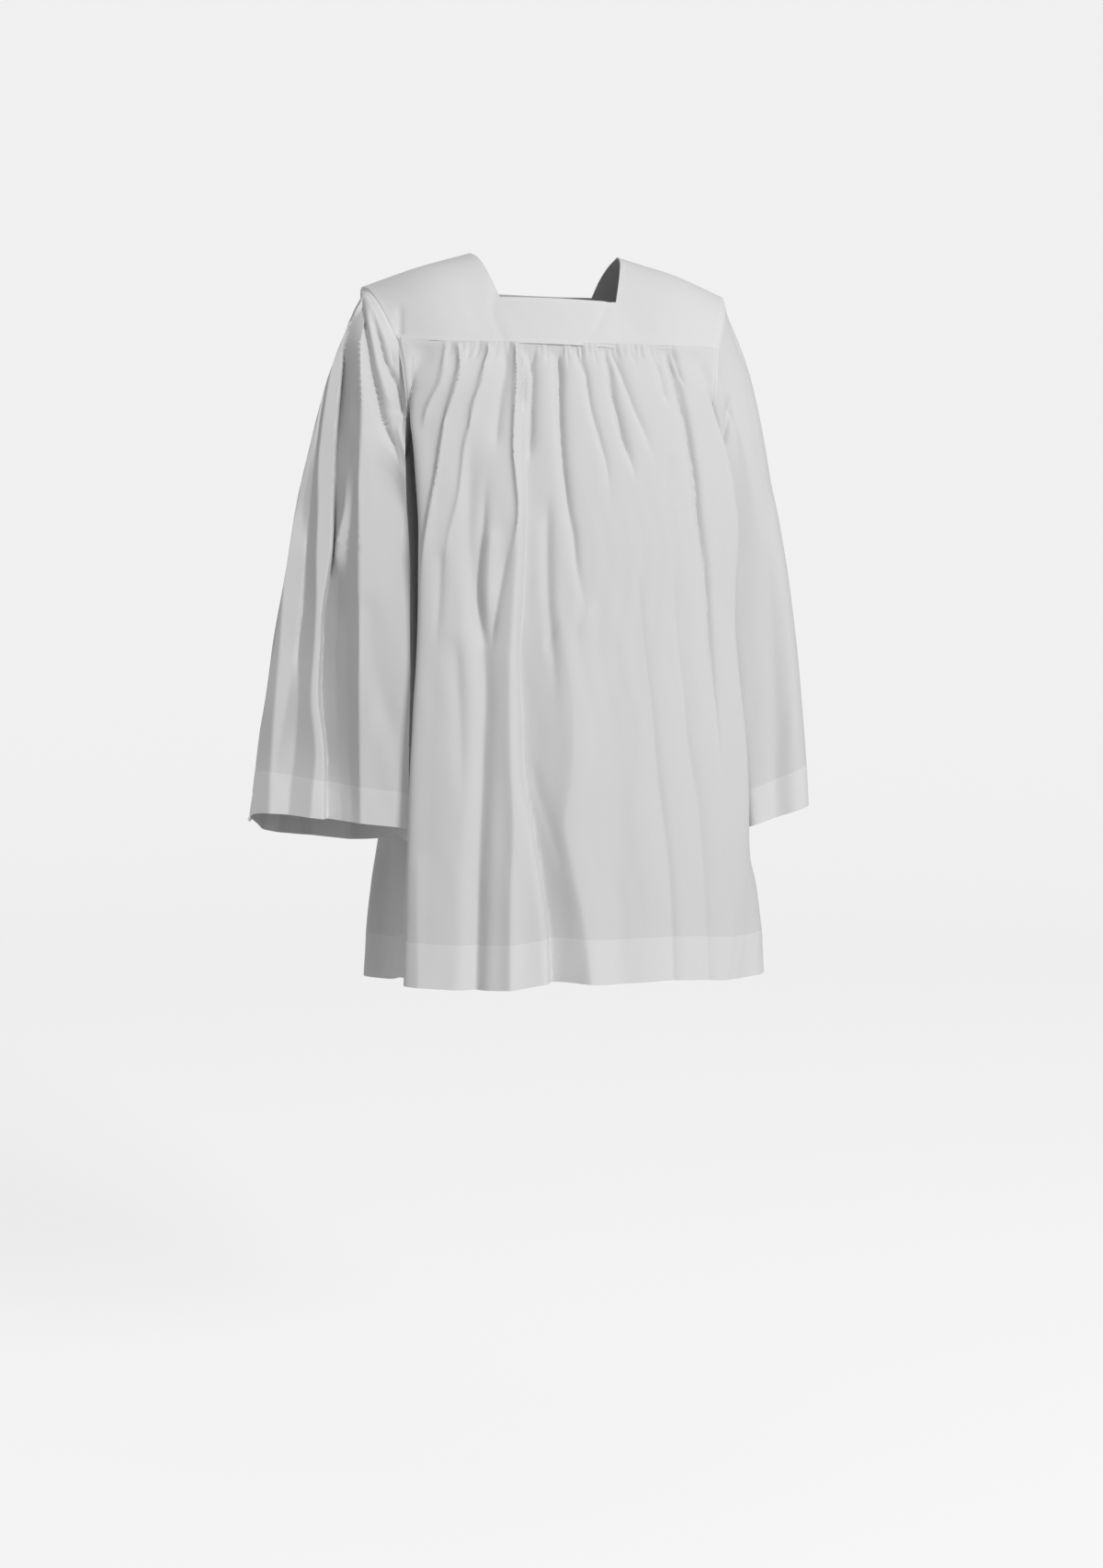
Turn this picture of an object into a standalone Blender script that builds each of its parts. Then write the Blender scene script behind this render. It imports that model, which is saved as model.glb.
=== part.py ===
"""A surplice of thin white cotton, in the shape that it takes when it is worn.

Metres, +Z up. The origin is the middle of the neck, at the height where the shoulder
seams meet it. The front faces -Y, and the wearer's left is at +X. Each piece that is
cut and sewn is one closed wall of cloth: two yokes, two gathered panels, two sleeves.
"""

import math
from typing import NamedTuple

import bmesh
import bpy
import numpy as np

GARMENT = "surplice"

# The cloth.
PANEL_CLOTH = 0.0016
YOKE_CLOTH = 0.0022
HEM_STEP = 0.0004
BODY_HEM = 0.052
CUFF_HEM = 0.050
SEAM_GAP = 0.00034
# How the sleeve's wall meets the body's: the bend at which the mitre sets in, and its limit.
MITRE_SETS_IN = (-0.10, 0.10)
LEAST_MITRE_COSINE = 0.75

# The largest folds and the gathers that the panels have under their yokes.
FRONT_GATHERS = 30
BACK_GATHERS = 28
FLAT_COLUMNS = 5
FLAT_COLUMNS_CLOSE_UP = 1.45
GATHER_DEPTH = 0.0018
GATHER_FADE = 0.095

# Waves that make the gathers uneven: how strong each is, and its turn from one to the next.
GATHER_SPACING_WAVES = ((0.16, 1.9), (0.12, 0.7))
GATHER_DEPTH_WAVE = (0.28, 1.37, 0.41)
GATHER_REACH_WAVE = (0.25, 0.93, 1.0)

# How finely each piece is divided.
YOKE_SHOULDER_COLUMNS = 6
YOKE_NECK_COLUMNS = 8
ARMHOLE_SHARES = (0.0, 0.07, 0.17, 0.30, 0.50, 0.75, 1.0)
SLEEVE_STEPS_BY_YOKE = 3
SLEEVE_STEPS_BY_PANEL = 2
CURVE_SAMPLES = 400

HEM_DROP = 0.862
BACK_HEM_DROP = 0.018
LEFT_SETTLES = 0.004
HEM_EDGE_ROLL = 0.0016
SLEEVE_ROWS = (0.06, 0.15, 0.26, 0.38, 0.52, 0.66, 0.80)

COTTON = (0.86, 0.86, 0.865, 1.0)
COTTON_ROUGHNESS = 0.85


class Place(NamedTuple):
    """A point of the cut, on the wearer's left. The right one mirrors it."""

    x: float
    y: float
    z: float


class PanelLevel(NamedTuple):
    """Where a panel turns at one height: its middle and the folds at its two sides."""

    z: float
    middle_y: float
    right_x: float
    right_y: float
    left_x: float
    left_y: float


class SideLevel(NamedTuple):
    """Where the two side seams run at one height."""

    z: float
    right_x: float
    left_x: float
    y: float


class SleeveLevel(NamedTuple):
    """One ring of a sleeve, from 0 at the armhole to 1 at the cuff."""

    along: float
    outer_x: float
    inner_x: float
    front_y: float
    back_y: float
    outer_z: float
    front_z: float
    inner_z: float
    back_z: float


class Fold(NamedTuple):
    """A crease (depth below 0) or ridge that runs down a panel, and fades at its ends."""

    top_z: float
    low_z: float
    top_x: float
    middle_x: float
    low_x: float
    top_depth: float
    low_depth: float
    right_width: float
    left_width: float


class SleeveFold(NamedTuple):
    """A crease or ridge of a sleeve. turn goes round: 0 outside, 0.25 front, 0.5 inside."""

    top: float
    low: float
    top_turn: float
    low_turn: float
    depth: float
    width: float


# The yoke's side (which is the armhole), shoulder and neck edge, from the shoulder seam
# down to the gathers, and its middle from the neck edge down.
FRONT_YOKE_SIDE = (
    Place(0.2195, 0.010, -0.0420),
    Place(0.2160, -0.028, -0.0500),
    Place(0.2090, -0.058, -0.0670),
    Place(0.2000, -0.080, -0.0900),
    Place(0.1905, -0.095, -0.1145),
)
FRONT_YOKE_SHOULDER = (
    Place(0.1550, 0.006, -0.0185),
    Place(0.1540, -0.036, -0.0260),
    Place(0.1500, -0.068, -0.0460),
    Place(0.1440, -0.093, -0.0780),
    Place(0.1370, -0.114, -0.1175),
)
FRONT_YOKE_NECK = (
    Place(0.0910, 0.000, 0.0000),
    Place(0.0860, -0.036, -0.0110),
    Place(0.0785, -0.064, -0.0330),
    Place(0.0695, -0.087, -0.0625),
    Place(0.0700, -0.123, -0.1190),
)
FRONT_YOKE_MIDDLE = (
    Place(0.0, -0.093, -0.0635),
    Place(0.0, -0.128, -0.1205),
)
BACK_YOKE_SIDE = (
    Place(0.2195, 0.010, -0.0420),
    Place(0.2165, 0.044, -0.0500),
    Place(0.2100, 0.070, -0.0680),
    Place(0.2020, 0.088, -0.0910),
    Place(0.1935, 0.100, -0.1180),
)
BACK_YOKE_SHOULDER = (
    Place(0.1550, 0.006, -0.0185),
    Place(0.1545, 0.046, -0.0260),
    Place(0.1520, 0.074, -0.0450),
    Place(0.1470, 0.094, -0.0760),
    Place(0.1400, 0.108, -0.1220),
)
BACK_YOKE_NECK = (
    Place(0.0910, 0.000, 0.0000),
    Place(0.0860, 0.030, -0.0070),
    Place(0.0800, 0.054, -0.0200),
    Place(0.0740, 0.072, -0.0380),
    Place(0.0740, 0.112, -0.1240),
)
BACK_YOKE_MIDDLE = (
    Place(0.0, 0.075, -0.0400),
    Place(0.0, 0.114, -0.1250),
)
NECK_EDGE_LEVEL = 3

# A panel's section passes through 11 stations. From each side fold, one lies this share of
# the way to the side seam, along x, y and z, and two lie ahead of the fold, at these shares
# of its distance from the middle and of the way forward. The two folds are these stations.
BEHIND_FOLD = (0.62, 0.26, 0.50)
BEFORE_FOLD = (0.87, 0.34)
QUARTER = (0.52, 0.80)
RIGHT_FOLD_STATION = 2
LEFT_FOLD_STATION = 8

# The armhole from the yoke's corner down to the underarm.
FRONT_ARMHOLE = (
    Place(0.1905, -0.095, -0.1145),
    Place(0.1830, -0.098, -0.1560),
    Place(0.1740, -0.081, -0.1960),
    Place(0.1665, -0.044, -0.2200),
    Place(0.1630, 0.005, -0.2280),
)
BACK_ARMHOLE = (
    Place(0.1935, 0.100, -0.1180),
    Place(0.1860, 0.104, -0.1580),
    Place(0.1760, 0.090, -0.1970),
    Place(0.1670, 0.054, -0.2200),
    Place(0.1630, 0.005, -0.2280),
)

FRONT_LEVELS = (
    PanelLevel(-0.120, -0.128, -0.1500, -0.115, 0.1500, -0.115),
    PanelLevel(-0.160, -0.141, -0.1640, -0.118, 0.1710, -0.115),
    PanelLevel(-0.200, -0.149, -0.1690, -0.121, 0.1830, -0.117),
    PanelLevel(-0.236, -0.154, -0.1690, -0.124, 0.1930, -0.119),
    PanelLevel(-0.320, -0.162, -0.1675, -0.132, 0.2050, -0.122),
    PanelLevel(-0.424, -0.168, -0.1665, -0.140, 0.2080, -0.127),
    PanelLevel(-0.624, -0.179, -0.1810, -0.150, 0.2230, -0.130),
    PanelLevel(-0.745, -0.186, -0.1895, -0.156, 0.2230, -0.130),
    PanelLevel(-0.862, -0.190, -0.1930, -0.160, 0.2200, -0.127),
)
BACK_LEVELS = (
    PanelLevel(-0.125, 0.115, -0.1500, 0.108, 0.1500, 0.108),
    PanelLevel(-0.165, 0.124, -0.1600, 0.114, 0.1600, 0.114),
    PanelLevel(-0.205, 0.130, -0.1640, 0.116, 0.1660, 0.116),
    PanelLevel(-0.236, 0.133, -0.1660, 0.117, 0.1700, 0.117),
    PanelLevel(-0.320, 0.136, -0.1660, 0.118, 0.1770, 0.118),
    PanelLevel(-0.424, 0.138, -0.1680, 0.120, 0.1860, 0.121),
    PanelLevel(-0.624, 0.146, -0.1780, 0.128, 0.2060, 0.130),
    PanelLevel(-0.697, 0.149, -0.1900, 0.116, 0.2220, 0.112),
    PanelLevel(-0.745, 0.152, -0.2000, 0.104, 0.2380, 0.096),
    PanelLevel(-0.800, 0.155, -0.2090, 0.088, 0.2505, 0.082),
    PanelLevel(-0.862, 0.158, -0.2150, 0.066, 0.2585, 0.072),
)
SIDE_LEVELS = (
    SideLevel(-0.228, -0.1630, 0.1630, 0.005),
    SideLevel(-0.320, -0.1580, 0.1680, 0.004),
    SideLevel(-0.424, -0.1560, 0.1780, 0.002),
    SideLevel(-0.624, -0.1600, 0.2020, 0.000),
    SideLevel(-0.697, -0.1670, 0.2240, -0.008),
    SideLevel(-0.745, -0.1720, 0.2495, -0.018),
    SideLevel(-0.800, -0.1760, 0.2600, -0.032),
    SideLevel(-0.862, -0.1800, 0.2645, -0.044),
)
FRONT_ROWS_ABOVE = (-0.120, -0.127, -0.139, -0.156, -0.180, -0.207, -0.236)
BACK_ROWS_ABOVE = (-0.125, -0.132, -0.144, -0.161, -0.184, -0.209, -0.236)
ROWS_BELOW = (-0.285, -0.345, -0.410, -0.480, -0.555, -0.635, -0.715, -0.775)

# Where the gathered stretch starts and ends: along the seam, and along the cut cloth.
GATHERED_SEAM = (0.19, 0.87)
GATHERED_CLOTH = (0.10, 0.92)

# How far under the seam the panel's side folds have taken their place between its columns.
SIDE_FOLDS_BY = 0.13

FRONT_FOLDS = (
    Fold(-0.140, -0.900, -0.106, -0.115, -0.112, -0.0030, -0.0130, 0.024, 0.020),
    Fold(-0.280, -0.900, -0.066, -0.073, -0.078, 0.0040, 0.0070, 0.018, 0.018),
    Fold(-0.130, -0.260, -0.070, -0.084, -0.112, -0.0055, -0.0040, 0.012, 0.012),
    Fold(-0.340, -0.900, -0.038, -0.054, -0.018, -0.0020, -0.0140, 0.013, 0.017),
    Fold(-0.220, -0.900, 0.002, 0.006, 0.036, 0.0045, 0.0080, 0.022, 0.030),
    Fold(-0.130, -0.370, -0.011, -0.013, 0.002, -0.0060, -0.0050, 0.011, 0.009),
    Fold(-0.130, -0.290, 0.044, 0.056, 0.070, -0.0050, -0.0040, 0.011, 0.011),
    Fold(-0.150, -0.450, 0.075, 0.100, 0.112, 0.0050, 0.0040, 0.018, 0.018),
    Fold(-0.135, -0.680, 0.122, 0.161, 0.194, -0.0070, -0.0060, 0.013, 0.011),
    Fold(-0.400, -0.900, 0.125, 0.151, 0.183, -0.0030, -0.0090, 0.014, 0.020),
    Fold(-0.450, -0.900, 0.085, 0.093, 0.108, 0.0030, 0.0070, 0.022, 0.020),
    Fold(-0.150, -0.360, -0.128, -0.145, -0.158, 0.0040, 0.0035, 0.016, 0.014),
    Fold(-0.520, -0.900, 0.056, 0.052, 0.066, -0.0020, -0.0060, 0.016, 0.016),
)
BACK_FOLDS = (
    Fold(-0.140, -0.900, 0.104, 0.118, 0.131, -0.0040, -0.0150, 0.020, 0.024),
    Fold(-0.200, -0.900, 0.066, 0.078, 0.086, 0.0040, 0.0100, 0.020, 0.020),
    Fold(-0.135, -0.320, 0.058, 0.060, 0.052, -0.0060, -0.0040, 0.012, 0.012),
    Fold(-0.300, -0.900, 0.032, 0.041, 0.036, -0.0030, -0.0130, 0.016, 0.016),
    Fold(-0.150, -0.900, 0.004, -0.004, -0.010, 0.0040, 0.0090, 0.020, 0.024),
    Fold(-0.135, -0.380, -0.024, -0.030, -0.041, -0.0060, -0.0040, 0.012, 0.010),
    Fold(-0.360, -0.900, -0.050, -0.055, -0.052, -0.0030, -0.0120, 0.018, 0.015),
    Fold(-0.220, -0.900, -0.086, -0.097, -0.101, 0.0050, 0.0090, 0.018, 0.020),
    Fold(-0.135, -0.560, -0.112, -0.132, -0.146, -0.0060, -0.0070, 0.013, 0.013),
    Fold(-0.460, -0.900, -0.134, -0.140, -0.150, -0.0030, -0.0100, 0.016, 0.018),
    Fold(-0.480, -0.900, 0.158, 0.172, 0.190, 0.0030, 0.0080, 0.020, 0.022),
)
# How the hem waves up and down across the front and the back.
FRONT_HEM_WAVE = ((-0.22, 0.000), (-0.07, -0.002), (-0.02, 0.004), (0.03, 0.001), (0.18, 0.003), (0.28, 0.003))
BACK_HEM_WAVE = ((-0.23, 0.000), (-0.12, -0.004), (-0.03, 0.003), (0.07, -0.003), (0.16, 0.003), (0.28, 0.000))

RIGHT_SLEEVE = (
    SleeveLevel(0.16, -0.2620, -0.1790, -0.108, 0.110, -0.130, -0.225, -0.285, -0.225),
    SleeveLevel(0.36, -0.2990, -0.1820, -0.106, 0.108, -0.266, -0.330, -0.372, -0.335),
    SleeveLevel(0.58, -0.3250, -0.1830, -0.103, 0.104, -0.410, -0.450, -0.480, -0.460),
    SleeveLevel(0.80, -0.3455, -0.1840, -0.103, 0.102, -0.547, -0.563, -0.590, -0.600),
    SleeveLevel(1.00, -0.3635, -0.1840, -0.104, 0.100, -0.677, -0.672, -0.697, -0.708),
)
LEFT_SLEEVE = (
    SleeveLevel(0.16, 0.2500, 0.1890, -0.104, 0.112, -0.129, -0.222, -0.285, -0.225),
    SleeveLevel(0.36, 0.2740, 0.2040, -0.098, 0.116, -0.268, -0.330, -0.372, -0.335),
    SleeveLevel(0.58, 0.2970, 0.2120, -0.094, 0.118, -0.405, -0.450, -0.480, -0.460),
    SleeveLevel(0.80, 0.3110, 0.2270, -0.093, 0.120, -0.540, -0.563, -0.590, -0.580),
    SleeveLevel(1.00, 0.3200, 0.2400, -0.092, 0.122, -0.668, -0.676, -0.696, -0.690),
)
SLEEVE_ROUNDNESS = 0.58
INNER_FRONT_ROUNDNESS = 0.17
# Along the sleeve, where it leaves the plain oval of its armhole: all round, and at the
# corner between its front and the body, which is sooner on the left.
SQUARES_OFF = (0.05, 0.50)
RIGHT_CORNER_SQUARES_OFF = (0.05, 0.50)
LEFT_CORNER_SQUARES_OFF = (0.00, 0.20)
# Along the sleeve, where its rings turn into level hoops that only tilt, as its cuff does.
LEVELS_OUT = (0.45, 1.00)
# How far along the sleeve the armhole's own line still shows.
ARMHOLE_FADE = 0.30
# The turns over which a sleeve's folds fade out towards its plain side next to the body.
NEXT_TO_BODY = (0.34, 0.44)
RIGHT_SLEEVE_FOLDS = (
    SleeveFold(0.02, 1.2, 0.07, 0.130, 0.014, 0.026),
    SleeveFold(0.10, 1.2, 0.14, 0.190, -0.036, 0.032),
    SleeveFold(0.04, 1.2, 0.20, 0.268, 0.016, 0.028),
    SleeveFold(0.03, 0.5, 0.23, 0.330, -0.006, 0.022),
    SleeveFold(0.25, 1.2, 0.62, 0.640, -0.016, 0.035),
    SleeveFold(0.10, 1.2, 0.78, 0.760, 0.012, 0.035),
    SleeveFold(0.12, 1.2, 0.88, 0.870, -0.014, 0.032),
)
LEFT_SLEEVE_FOLDS = (
    SleeveFold(0.10, 1.2, 0.12, 0.130, 0.006, 0.034),
    SleeveFold(0.15, 1.2, 0.20, 0.220, -0.008, 0.034),
    SleeveFold(0.30, 1.2, 0.28, 0.310, 0.006, 0.030),
    SleeveFold(0.20, 1.2, 0.64, 0.650, -0.014, 0.036),
    SleeveFold(0.10, 1.2, 0.76, 0.750, 0.012, 0.036),
    SleeveFold(0.14, 1.2, 0.88, 0.880, -0.016, 0.034),
)


class Sheet:
    """A grid of points on the outside of the cloth, by row and column."""

    def __init__(self, points: np.ndarray, outward: float, cloth: float, closed: bool = False):
        """Take the grid, and 1 or -1 for the side of it that faces out."""
        self.points = points
        self.closed = closed
        self.out = outward * self._normals()
        self.ripple = np.zeros(points.shape[:2])
        self.cloth = np.full(points.shape[:2], cloth)
        self.shift = np.zeros_like(points)

    def _normals(self) -> np.ndarray:
        """Return the unit normal at each point of the grid."""
        if self.closed:
            across = np.roll(self.points, -1, axis=1) - np.roll(self.points, 1, axis=1)
        else:
            across = np.gradient(self.points, axis=1)
        normal = np.cross(np.gradient(self.points, axis=0), across)
        return unit(normal)

    def thicken_hem(self, rows: np.ndarray) -> None:
        """Make the rows of a turned hem stand out a little on both sides."""
        self.ripple[rows] += HEM_STEP
        self.cloth[rows] += 2 * HEM_STEP

    def outside(self) -> np.ndarray:
        """Return the outer points."""
        return self.points + self.shift + self.out * self.ripple[..., None]

    def inside(self) -> np.ndarray:
        """Return the inner points."""
        return self.outside() - self.out * self.cloth[..., None]


def unit(vectors: np.ndarray) -> np.ndarray:
    """Return the vectors at length 1."""
    return vectors / np.linalg.norm(vectors, axis=-1, keepdims=True)


def smooth(keys, values, places) -> np.ndarray:
    """Return the smooth curve through each value at its key, read at other places."""
    keys = np.asarray(keys, float)
    values = np.asarray(values, float)
    steps = np.diff(keys)[:, None]
    slopes = np.diff(values, axis=0) / steps
    tangents = np.empty_like(values)
    tangents[0] = slopes[0]
    tangents[-1] = slopes[-1]
    tangents[1:-1] = (slopes[:-1] * steps[1:] + slopes[1:] * steps[:-1]) / (steps[:-1] + steps[1:])
    places = np.clip(np.asarray(places, float), keys[0], keys[-1])
    cell = np.clip(np.searchsorted(keys, places, side="right") - 1, 0, len(keys) - 2)
    width = steps[cell]
    part = (places - keys[cell])[:, None] / width
    squared = part**2
    cubed = part**3
    curve = values[cell] * (2 * cubed - 3 * squared + 1)
    curve += values[cell + 1] * (3 * squared - 2 * cubed)
    curve += tangents[cell] * width * (cubed - 2 * squared + part)
    curve += tangents[cell + 1] * width * (cubed - squared)
    return curve


def ease(value, start: float, end: float):
    """Return 0 before start and 1 after end, with a soft rise between them."""
    part = np.clip((value - start) / (end - start), 0.0, 1.0)
    return part * part * (3 - 2 * part)


def lengths_along(line: np.ndarray) -> np.ndarray:
    """Return how far along the line each of its points lies, from 0 to 1."""
    steps = np.linalg.norm(np.diff(line, axis=0), axis=1)
    run = np.concatenate([[0.0], np.cumsum(steps)])
    return run / run[-1]


def read_line(line: np.ndarray, values: np.ndarray, fractions) -> np.ndarray:
    """Return values that belong to a line's points, read at fractions of its length."""
    run = lengths_along(line)
    return np.stack([np.interp(fractions, run, values[:, axis]) for axis in range(3)], axis=1)


def station_keys(stations: np.ndarray) -> np.ndarray:
    """Return the stations' keys along their curve, which keep it from looping."""
    steps = np.linalg.norm(np.diff(stations, axis=0), axis=1) ** 0.5
    return np.concatenate([[0.0], np.cumsum(steps)])


def fine_curve(stations: np.ndarray) -> tuple:
    """Return the smooth curve through the stations as many points, and their keys."""
    keys = station_keys(stations)
    fine_keys = np.linspace(0.0, keys[-1], CURVE_SAMPLES)
    return smooth(keys, stations, fine_keys), fine_keys


def section_curve(stations: np.ndarray, fractions) -> np.ndarray:
    """Return points of the smooth curve through the stations, at fractions of its length."""
    fine, _ = fine_curve(stations)
    return read_line(fine, fine, fractions)


def station_fractions(stations: np.ndarray) -> np.ndarray:
    """Return how far along their curve each station lies, from 0 to 1."""
    fine, fine_keys = fine_curve(stations)
    return np.interp(station_keys(stations), fine_keys, lengths_along(fine))


def read_table(levels, key: str, name: str, places) -> np.ndarray:
    """Return a table's named column as a smooth curve, read at other places."""
    keys = np.array([getattr(level, key) for level in levels])
    values = np.array([[getattr(level, name)] for level in levels])
    order = np.argsort(keys)
    return smooth(keys[order], values[order], np.atleast_1d(places))[:, 0]


def yoke_points(side, shoulder, neck, middle) -> np.ndarray:
    """Return the yoke's grid from right to left, with the neck's opening filled for now."""
    shoulder_fractions = np.linspace(0.0, 1.0, YOKE_SHOULDER_COLUMNS + 1)
    neck_fractions = np.linspace(0.0, 1.0, YOKE_NECK_COLUMNS + 1)[1:-1]
    rows = []
    for level, strip in enumerate(zip(side, shoulder, neck)):
        left = section_curve(np.array(strip), shoulder_fractions)
        right = left * (-1.0, 1.0, 1.0)
        left[:, 2] -= LEFT_SETTLES * level / (len(side) - 1)
        if level < NECK_EDGE_LEVEL:
            across = neck_fractions[:, None]
            inner = right[-1] * (1 - across) + left[-1] * across
        else:
            across = neck_fractions[:, None]
            inner = right[-1] * (1 - across) * (1 - 2 * across) + left[-1] * across * (2 * across - 1)
            inner += np.array(middle[level - NECK_EDGE_LEVEL]) * 4 * across * (1 - across)
        rows.append(np.concatenate([right, inner, left[::-1]]))
    return np.array(rows)


def in_neck(row: int, column: int) -> bool:
    """Return whether a cell of a yoke's grid is part of the neck's opening."""
    first = YOKE_SHOULDER_COLUMNS
    return row < NECK_EDGE_LEVEL and first <= column < first + YOKE_NECK_COLUMNS


def cloth_columns(gathers: int) -> np.ndarray:
    """Return where a panel's columns lie across its cut cloth: two for each gather."""
    start, end = GATHERED_CLOTH
    number = np.arange(2 * gathers + 1)
    step = (end - start) / (2 * gathers)
    uneven = sum(strength * np.sin(number * turn) for strength, turn in GATHER_SPACING_WAVES)
    uneven[[0, -1]] = 0.0
    gathered = start + (number + uneven) * step
    closer = (np.arange(1, FLAT_COLUMNS + 1) / FLAT_COLUMNS) ** FLAT_COLUMNS_CLOSE_UP
    flat_start = start * (1 - closer)[::-1]
    flat_end = end + (1 - end) * closer
    return np.concatenate([flat_start, gathered, flat_end])


def seam_fractions(cloth: np.ndarray) -> np.ndarray:
    """Return where places across the cut cloth lie along the gathered seam."""
    return np.interp(cloth, (0.0, *GATHERED_CLOTH, 1.0), (0.0, *GATHERED_SEAM, 1.0))


def spread_columns(cloth: np.ndarray, stations: np.ndarray, below: float) -> np.ndarray:
    """Return where a panel's columns lie along one section, at this depth below its seam."""
    turned = ease(below, 0.0, SIDE_FOLDS_BY)
    marks = station_fractions(stations)
    folds = marks[[RIGHT_FOLD_STATION, LEFT_FOLD_STATION]]
    right, left = np.array(GATHERED_SEAM) * (1 - turned) + folds * turned
    return np.interp(cloth, (0.0, *GATHERED_CLOTH, 1.0), (0.0, right, left, 1.0))


def panel_side(armhole, rows_below: np.ndarray, side: str) -> np.ndarray:
    """Return a panel's edge on one side: down the armhole, then down the side seam."""
    curve = section_curve(np.array(armhole), ARMHOLE_SHARES)
    if side == "right":
        curve = curve * (-1.0, 1.0, 1.0)
    else:
        curve[:, 2] -= LEFT_SETTLES * (1 - ease(np.array(ARMHOLE_SHARES), 0.0, 1.0))
    x = read_table(SIDE_LEVELS, "z", f"{side}_x", rows_below)
    y = read_table(SIDE_LEVELS, "z", "y", rows_below)
    return np.concatenate([curve, np.stack([x, y, rows_below], axis=1)])


def stations_at(levels, z: float, right_side: np.ndarray, left_side: np.ndarray) -> np.ndarray:
    """Return the points that a panel's section passes through at one height."""
    middle_y = read_table(levels, "z", "middle_y", z)[0]
    halves = []
    for name, side in (("right", right_side), ("left", left_side)):
        edge_x = read_table(levels, "z", f"{name}_x", z)[0]
        edge_y = read_table(levels, "z", f"{name}_y", z)[0]
        edge = np.array([edge_x, edge_y, z])
        behind = edge + (side - edge) * BEHIND_FOLD
        (before, quarter) = (
            np.array([edge_x * out, edge_y + (middle_y - edge_y) * ahead, z])
            for out, ahead in (BEFORE_FOLD, QUARTER)
        )
        halves.append([side, behind, edge, before, quarter])
    right, left = halves
    return np.array([*right, (0.0, middle_y, z), *left[::-1]])


def fold_lift(folds, points: np.ndarray, facing: np.ndarray) -> np.ndarray:
    """Return how far the folds move each point out. facing is 1 where the cloth faces ahead."""
    x = points[..., 0]
    z = points[..., 2]
    total = np.zeros_like(x)
    for fold in folds:
        part = (fold.top_z - z) / (fold.top_z - fold.low_z)
        line = fold.top_x * (1 - part) * (1 - 2 * part)
        line += fold.middle_x * 4 * part * (1 - part)
        line += fold.low_x * part * (2 * part - 1)
        off = x - line
        width = np.where(off < 0, fold.right_width, fold.left_width)
        depth = fold.top_depth + (fold.low_depth - fold.top_depth) * part
        ends = ease(part, 0.0, 0.14) * (1 - ease(part, 0.86, 1.0))
        total += depth * ends * np.exp(-((off / width) ** 2))
    return total * ease(facing, 0.25, 0.75)


def gather_ripple(gathers: int, below: np.ndarray) -> np.ndarray:
    """Return the gathers' height: a trough and a ridge for each, uneven, fading downwards."""
    number = np.arange(2 * gathers + 1 + 2 * FLAT_COLUMNS) - FLAT_COLUMNS
    gathered = (number > 0) & (number < 2 * gathers)
    side = np.where(number % 2 == 0, -1.0, 1.0)
    share, turn, slow_turn = GATHER_DEPTH_WAVE
    strength = 1 - share + share * np.sin(number * turn) * np.cos(number * slow_turn)
    share, turn, start = GATHER_REACH_WAVE
    reach = 1 - share + share * np.sin(number * turn + start)
    part = below[:, None] / (GATHER_FADE * reach)
    swell = 0.30 + 0.70 * ease(part, 0.0, 0.16)
    return np.where(gathered, side * strength * GATHER_DEPTH, 0.0) * swell * (1 - ease(part, 0.28, 1.0))


def hem_move(points: np.ndarray, wave) -> np.ndarray:
    """Return how far the hem under each point lies above its mean height in front."""
    places, rises = np.array(wave).T
    behind = ease(points[..., 1], -0.10, 0.06)
    ahead_or_behind = np.abs(2 * behind - 1)
    rise = smooth(places, rises[:, None], points[..., 0].ravel()).reshape(points.shape[:2])
    return rise * ahead_or_behind - BACK_HEM_DROP * behind


def make_panel(levels, armhole, rows_above, folds, gathers: int, wave, facing: float) -> Sheet:
    """Return a gathered panel. facing is -1 for the front and 1 for the back."""
    hem_top = BODY_HEM - HEM_DROP
    rows_below = np.array([*ROWS_BELOW, hem_top, hem_top - HEM_EDGE_ROLL, -HEM_DROP])
    heights = np.concatenate([rows_above, rows_below])
    right = panel_side(armhole, rows_below, "right")
    left = panel_side(armhole, rows_below, "left")
    cloth = cloth_columns(gathers)
    rows = []
    for row, z in enumerate(heights):
        stations = stations_at(levels, z, right[row], left[row])
        fractions = spread_columns(cloth, stations, heights[0] - z)
        rows.append(section_curve(stations, fractions))
    base = Sheet(np.array(rows), -facing, PANEL_CLOTH)
    below = heights[0] - heights
    lift = fold_lift(folds, base.points, base.out[..., 1] * facing)
    lift *= ease(np.minimum(cloth, 1 - cloth), 0.0, 0.05) * ease(below, 0.0, 0.012)[:, None]
    folded = base.points + base.out * lift[..., None]
    folded[..., 2] += hem_move(folded, wave) * ease(below, 0.30, 0.74)[:, None]
    sheet = Sheet(folded, -facing, PANEL_CLOTH)
    sheet.ripple += gather_ripple(gathers, below)
    sheet.thicken_hem(heights < hem_top - HEM_EDGE_ROLL / 2)
    return sheet


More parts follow.
